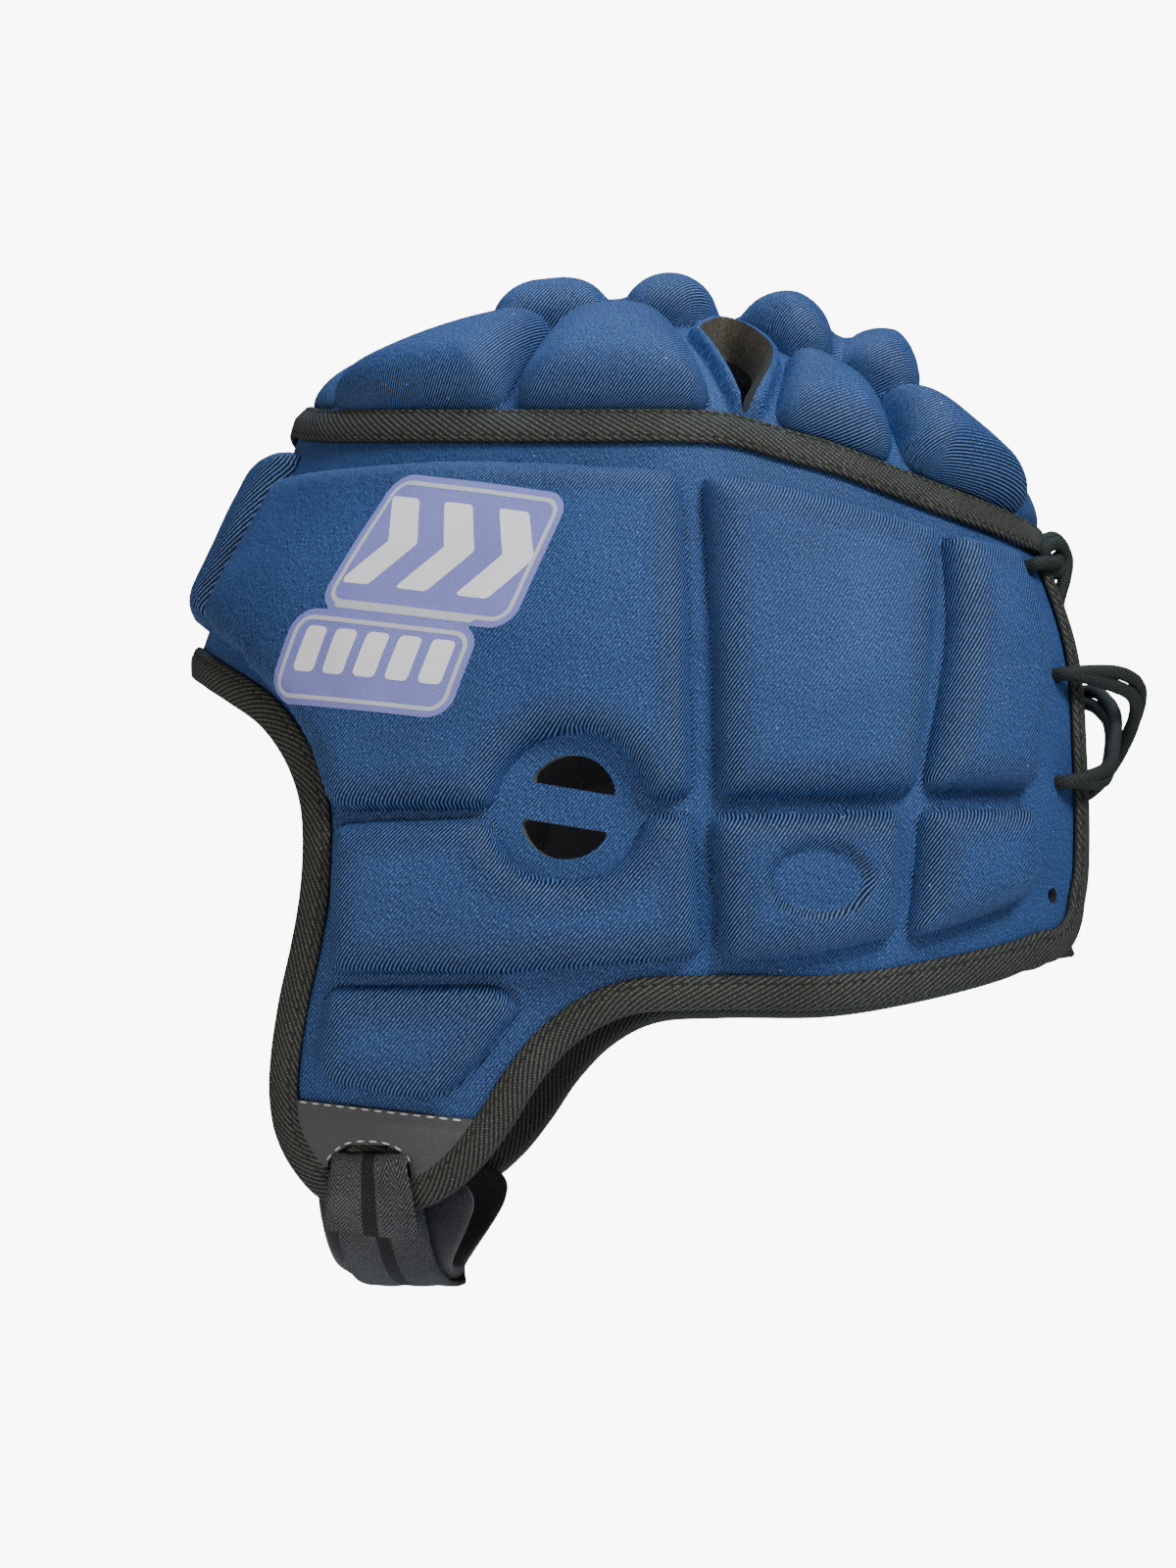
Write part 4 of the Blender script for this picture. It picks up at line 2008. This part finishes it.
@dataclass
class Laces:
    """The cords across the gap at the back, knotted inside the lace holes."""

    form: HeadForm
    band: Band
    radius: float = 1.9
    columns: int = 12
    strand_shift: float = 1.75
    end_steps: tuple[float, ...] = (-9.0, -4.0, 2.6)
    outer_route: Rows = (
        (22, 131, -98.5), (9, 138, -101), (-3, 138.5, -107), (-15, 134, -117), (-26, 127.5, -124.5),
    )
    inner_route: Rows = (
        (-22, 127.5, -99), (-11, 131, -103), (3, 132, -109), (14, 130.5, -118), (25, 127.5, -125),
    )
    top_route: Rows = ((18, 115.5, -66), (8, 117, -63), (-8, 117, -63), (-18, 115.5, -66))
    knot_route: Rows = (
        (18, 109, -65), (16, 111, -61), (14, 115, -58.5), (12, 118, -61), (12, 118.5, -66),
        (15, 115.5, -68.5), (18, 112.5, -66), (18, 113, -62), (15, 116.5, -60.5), (12, 119, -64),
        (13, 118.5, -69), (15, 117, -74), (16, 116, -78),
    )

    def cord(
        self, shop: Workshop, name: str, points: np.ndarray, replaces: tuple[str, ...]
    ) -> None:
        """Makes one cord.

        Args:
            shop: makes the piece.
            name: the piece's name.
            points: the points that it follows.
            replaces: the CAD nodes that it stands for.
        """
        line = smooth_line(points, 1.2)
        tangent = tangents_of(line)
        side = unit(np.cross(tangent, np.array([0.1, 0.3, 1.0])))
        up = np.cross(side, tangent)
        turn = 2 * math.pi * np.arange(self.columns + 1) / self.columns
        ways = side[:, None] * np.cos(turn[:-1])[:, None] + up[:, None] * np.sin(turn[:-1])[:, None]
        body = tube(line[:, None] + self.radius * ways, lengths_along(line), self.radius * turn)
        made = shop.piece(name, body, [LACE_CORD], replaces)

    def strand(
        self, first: tuple[Eyelet, int], last: tuple[Eyelet, int], middle: Rows, shift: float
    ) -> np.ndarray:
        """The line of one strand from inside one lace hole to inside another."""
        ends = []
        for eyelet, side in (first, last):
            point, normal, _ = self.band.eyelet_place(eyelet)
            flip = np.array([side, 1, 1])
            ends.append([(point + normal * out) * flip for out in self.end_steps])
        route = np.array(middle, float) + np.array([0, 0.35, 1.0]) * shift
        return np.concatenate([ends[0], route, ends[1][::-1]])

    def build(self, shop: Workshop) -> None:
        """Makes the crossed strands, the top tie and its knot."""
        rows = self.band.eyelets
        for label, sign, route in (("outer", 1, self.outer_route), ("inner", -1, self.inner_route)):
            for strand, shift in (("upper", self.strand_shift), ("lower", -self.strand_shift)):
                line = self.strand((rows[1], sign), (rows[2], -sign), route, shift)
                nodes = (f"lace_{label}",) if strand == "upper" else ()
                self.cord(shop, f"lace_{label}_{strand}", line, nodes)
        line = self.strand((rows[0], 1), (rows[0], -1), self.top_route, 0.0)
        self.cord(shop, "lace_tie", line, ("lace_top",))
        self.cord(shop, "lace_knot", np.array(self.knot_route, float), ())


# The printed emblem


@dataclass
class Emblem:
    """A plain printed badge of chevrons and slanted blocks on the front pad."""

    form: HeadForm
    band: Band
    centre: tuple[float, float] = (117.0, -83.0)
    tilt: float = 8.0
    cell: float = 0.7
    slant: float = 0.22
    reach: float = 46.0
    corner: float = 6.0
    ink: float = 0.12

    def local(self, flat: np.ndarray) -> tuple[np.ndarray, np.ndarray]:
        """Flat places in the badge's own slanted axes."""
        turn = math.radians(self.tilt)
        ds, dz = flat[:, 0] - self.centre[0], flat[:, 1] - self.centre[1]
        x = ds * math.cos(turn) - dz * math.sin(turn)
        y = ds * math.sin(turn) + dz * math.cos(turn)
        return x - self.slant * y, y

    def box(
        self, flat: np.ndarray, centre: tuple[float, float], half: tuple[float, float], corner: float
    ) -> np.ndarray:
        """Distance inside a rounded slanted box of the badge."""
        x, y = self.local(flat)
        x, y = x - centre[0], y - centre[1]
        return rounded_inside([half[0] - x, half[0] + x, half[1] - y, half[1] + y], corner)

    def chevron(self, flat: np.ndarray, centre: tuple[float, float], tall: float, thick: float) -> np.ndarray:
        """Distance inside a chevron that points back."""
        x, y = self.local(flat)
        up = np.abs(y - centre[1])
        across = x - centre[0] + 0.62 * up
        return rounded_inside([thick / 2 - np.abs(across), tall / 2 - up], 0.8)

    def ground(self, flat: np.ndarray) -> np.ndarray:
        """The badge's ground: two slabs, the upper one set back."""
        upper = self.box(flat, (2.5, 11.0), (26.5, 18.0), self.corner)
        lower = self.box(flat, (-3.5, -19.0), (25.5, 12.0), self.corner)
        return np.maximum(upper, lower)

    def line(self, flat: np.ndarray) -> np.ndarray:
        """A thin line inside the ground's edge, and one between the two rows."""
        border = 0.55 - np.abs(self.ground(flat) - 2.2)
        between = self.box(flat, (0.0, -5.6), (19.0, 0.7), 0.6)
        return np.maximum(border, between)

    def bars(self, flat: np.ndarray) -> np.ndarray:
        """A row of chevrons over a row of slanted blocks."""
        blocks = [self.box(flat, (-20.6 + 8.7 * k, -16.8), (3.0, 5.6), 1.2) for k in range(5)]
        chevrons = [self.chevron(flat, (-10.0 + 16.34 * k, 11.5), 23.0, 8.6) for k in range(3)]
        return np.maximum.reduce([*chevrons, *blocks])

    def layer(self, shop: Workshop, name: str, shape: Field, lift: float, finish: Finish) -> None:
        """Makes one layer of ink."""
        low = (self.centre[0] - self.reach, self.centre[1] - self.reach)
        high = (self.centre[0] + self.reach, self.centre[1] + self.reach)

        def place(flat: np.ndarray) -> np.ndarray:
            up = np.where(flat[:, 2] < -0.5, lift - 0.08, lift)
            return self.band.place(flat * [1, 1, 0]) + self.form.panel_normal(*flat[:, :2].T) * up[:, None]

        shop.piece(name, cut_piece(low, high, self.cell, shape, place), [finish])

    def build(self, shop: Workshop) -> None:
        """Makes the ground, its line and the bars."""
        self.layer(shop, "emblem_ground", self.ground, self.ink, PERIWINKLE_INK)
        self.layer(shop, "emblem_line", self.line, 1.7 * self.ink, GREY_INK)
        self.layer(shop, "emblem_bars", self.bars, 1.7 * self.ink, WHITE_INK)


# The small tab


@dataclass
class BackTab:
    """The small cloth tab sewn beside the back gap."""

    form: HeadForm
    outline: Rows = ((0.855, 0.64), (0.93, 0.643), (0.965, 0.69), (0.882, 0.696))
    reach: float = 10.0
    cell: float = 0.8

    def build(self, shop: Workshop) -> None:
        """Makes the tab."""
        low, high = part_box("back_tab")
        rows = np.array(self.outline)
        corners = np.stack([self.form.along_to_y(rows[:, 0]), -rows[:, 1] * self.form.depth], axis=1)
        centre = corners.mean(axis=0)

        def inside(flat: np.ndarray) -> np.ndarray:
            return rounded_inside([outline_distance(corners, flat[:, 0], flat[:, 1])], 1.0)

        def place(flat: np.ndarray) -> np.ndarray:
            x = np.where(flat[:, 2] < -0.5, low.x, high.x) / MM
            return np.stack([x, flat[:, 0], flat[:, 1]], axis=1)

        bm = cut_piece(tuple(centre - self.reach), tuple(centre + self.reach), self.cell, inside, place)
        shop.piece("back_tab_cloth", bm, [BRUSHED_LINING], ("back_tab",))


# Studio


@dataclass
class Studio:
    """The floor, the lights and the camera."""

    target: tuple[float, float, float] = (0.0, -0.0137, -0.1247)
    azimuth: float = 93.5
    elevation: float = -4.5
    distance: float = 1.0
    lens: float = 82.125
    floor_z: float = -0.62
    white: float = 9.0
    fill: float = 0.16
    fill_colour: int = 0xFFFBF5
    # Name, place, size, power and colour of each light
    lights: tuple[tuple, ...] = (
        ("key_softbox", (0.9, 0.72, 0.78), 0.5, 18.5, 0xFFFFFF),
        ("top_softbox", (-0.1, 0.0, 1.2), 0.8, 13.0, 0xBCD8FF),
        ("side_softbox", (1.3, -0.6, -0.4), 0.8, 8.0, 0xFFEEDC),
    )

    def white_to_camera(
        self, tree: bpy.types.NodeTree, lit: bpy.types.Node, seen: bpy.types.Node
    ) -> bpy.types.Node:
        """Shows one shader to the camera and another to everything else."""
        rays = add_node(tree, "ShaderNodeLightPath")
        return add_node(tree, "ShaderNodeMixShader", (rays.outputs["Is Camera Ray"], lit, seen))

    def floor(self) -> None:
        """Makes the floor, which looks as white as the room behind it."""
        bm = bmesh.new()
        bmesh.ops.create_grid(bm, x_segments=8, y_segments=8, size=6.0)
        bmesh.ops.translate(bm, verts=bm.verts, vec=(0, 0, self.floor_z))
        mesh = bpy.data.meshes.new("studio_floor")
        bm.to_mesh(mesh)
        bm.free()
        material = bpy.data.materials.new("white_studio_paper")
        material.use_nodes = True
        tree = material.node_tree
        tree.nodes.clear()
        paper = add_node(tree, "ShaderNodeBsdfDiffuse", {"Color": linear(0xF4F4F4)})
        seen = add_node(tree, "ShaderNodeEmission", {"Strength": self.white})
        add_node(tree, "ShaderNodeOutputMaterial", (self.white_to_camera(tree, paper, seen),))
        mesh.materials.append(material)
        floor = bpy.data.objects.new("studio_floor", mesh)
        bpy.context.scene.collection.objects.link(floor)

    def area(self, name: str, place: tuple[float, ...], size: float, power: float, colour: int) -> None:
        """Adds one soft light aimed at the object."""
        data = bpy.data.lights.new(name, "AREA")
        data.shape = "DISK"
        data.size = size
        data.energy = power
        data.color = linear(colour)[:3]
        light = bpy.data.objects.new(name, data)
        light.location = place
        aim = Vector(self.target) - Vector(place)
        light.rotation_euler = aim.to_track_quat("-Z", "Y").to_euler()
        bpy.context.scene.collection.objects.link(light)

    def world(self) -> None:
        """A white room that lights softly."""
        world = bpy.data.worlds.new("studio")
        world.use_nodes = True
        tree = world.node_tree
        tree.nodes.clear()
        seen = add_node(tree, "ShaderNodeBackground", {"Color": (1, 1, 1, 1), "Strength": self.white})
        colour = linear(self.fill_colour)
        fill = add_node(tree, "ShaderNodeBackground", {"Color": colour, "Strength": self.fill})
        add_node(tree, "ShaderNodeOutputWorld", (self.white_to_camera(tree, fill, seen),))
        bpy.context.scene.world = world

    def camera(self) -> None:
        """Sets the camera at the photograph's angle."""
        data = bpy.data.cameras.new("camera")
        data.lens = self.lens
        data.sensor_width = 36.0
        data.clip_start = 0.05
        data.clip_end = 60.0
        camera = bpy.data.objects.new("camera", data)
        a, e = math.radians(self.azimuth), math.radians(self.elevation)
        back = Vector((math.sin(a) * math.cos(e), -math.cos(a) * math.cos(e), math.sin(e)))
        camera.location = Vector(self.target) + back * self.distance
        camera.rotation_mode = "QUATERNION"
        camera.rotation_quaternion = (-back).to_track_quat("-Z", "Y")
        bpy.context.scene.collection.objects.link(camera)
        bpy.context.scene.camera = camera

    def build(self) -> None:
        """Makes the whole studio."""
        self.camera()
        self.floor()
        self.world()
        for light in self.lights:
            self.area(*light)


def main() -> None:
    """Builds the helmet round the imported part."""
    logging.basicConfig(level=logging.INFO, format="%(message)s")
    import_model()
    Studio().build()
    shop = Workshop()
    form = HeadForm()
    edge = EdgeSizes()
    band = Band(form, edge)
    bindings = Bindings(form, edge)
    Laces(form, band).build(shop)
    band.build(shop)
    Crown(form, edge).build(shop)
    bindings.build(shop)
    JawGuards(form, edge, band, bindings).build(shop)
    ChinStrap(form, edge).build(shop)
    Emblem(form, band).build(shop)
    BackTab(form).build(shop)


if __name__ == "__main__":
    main()
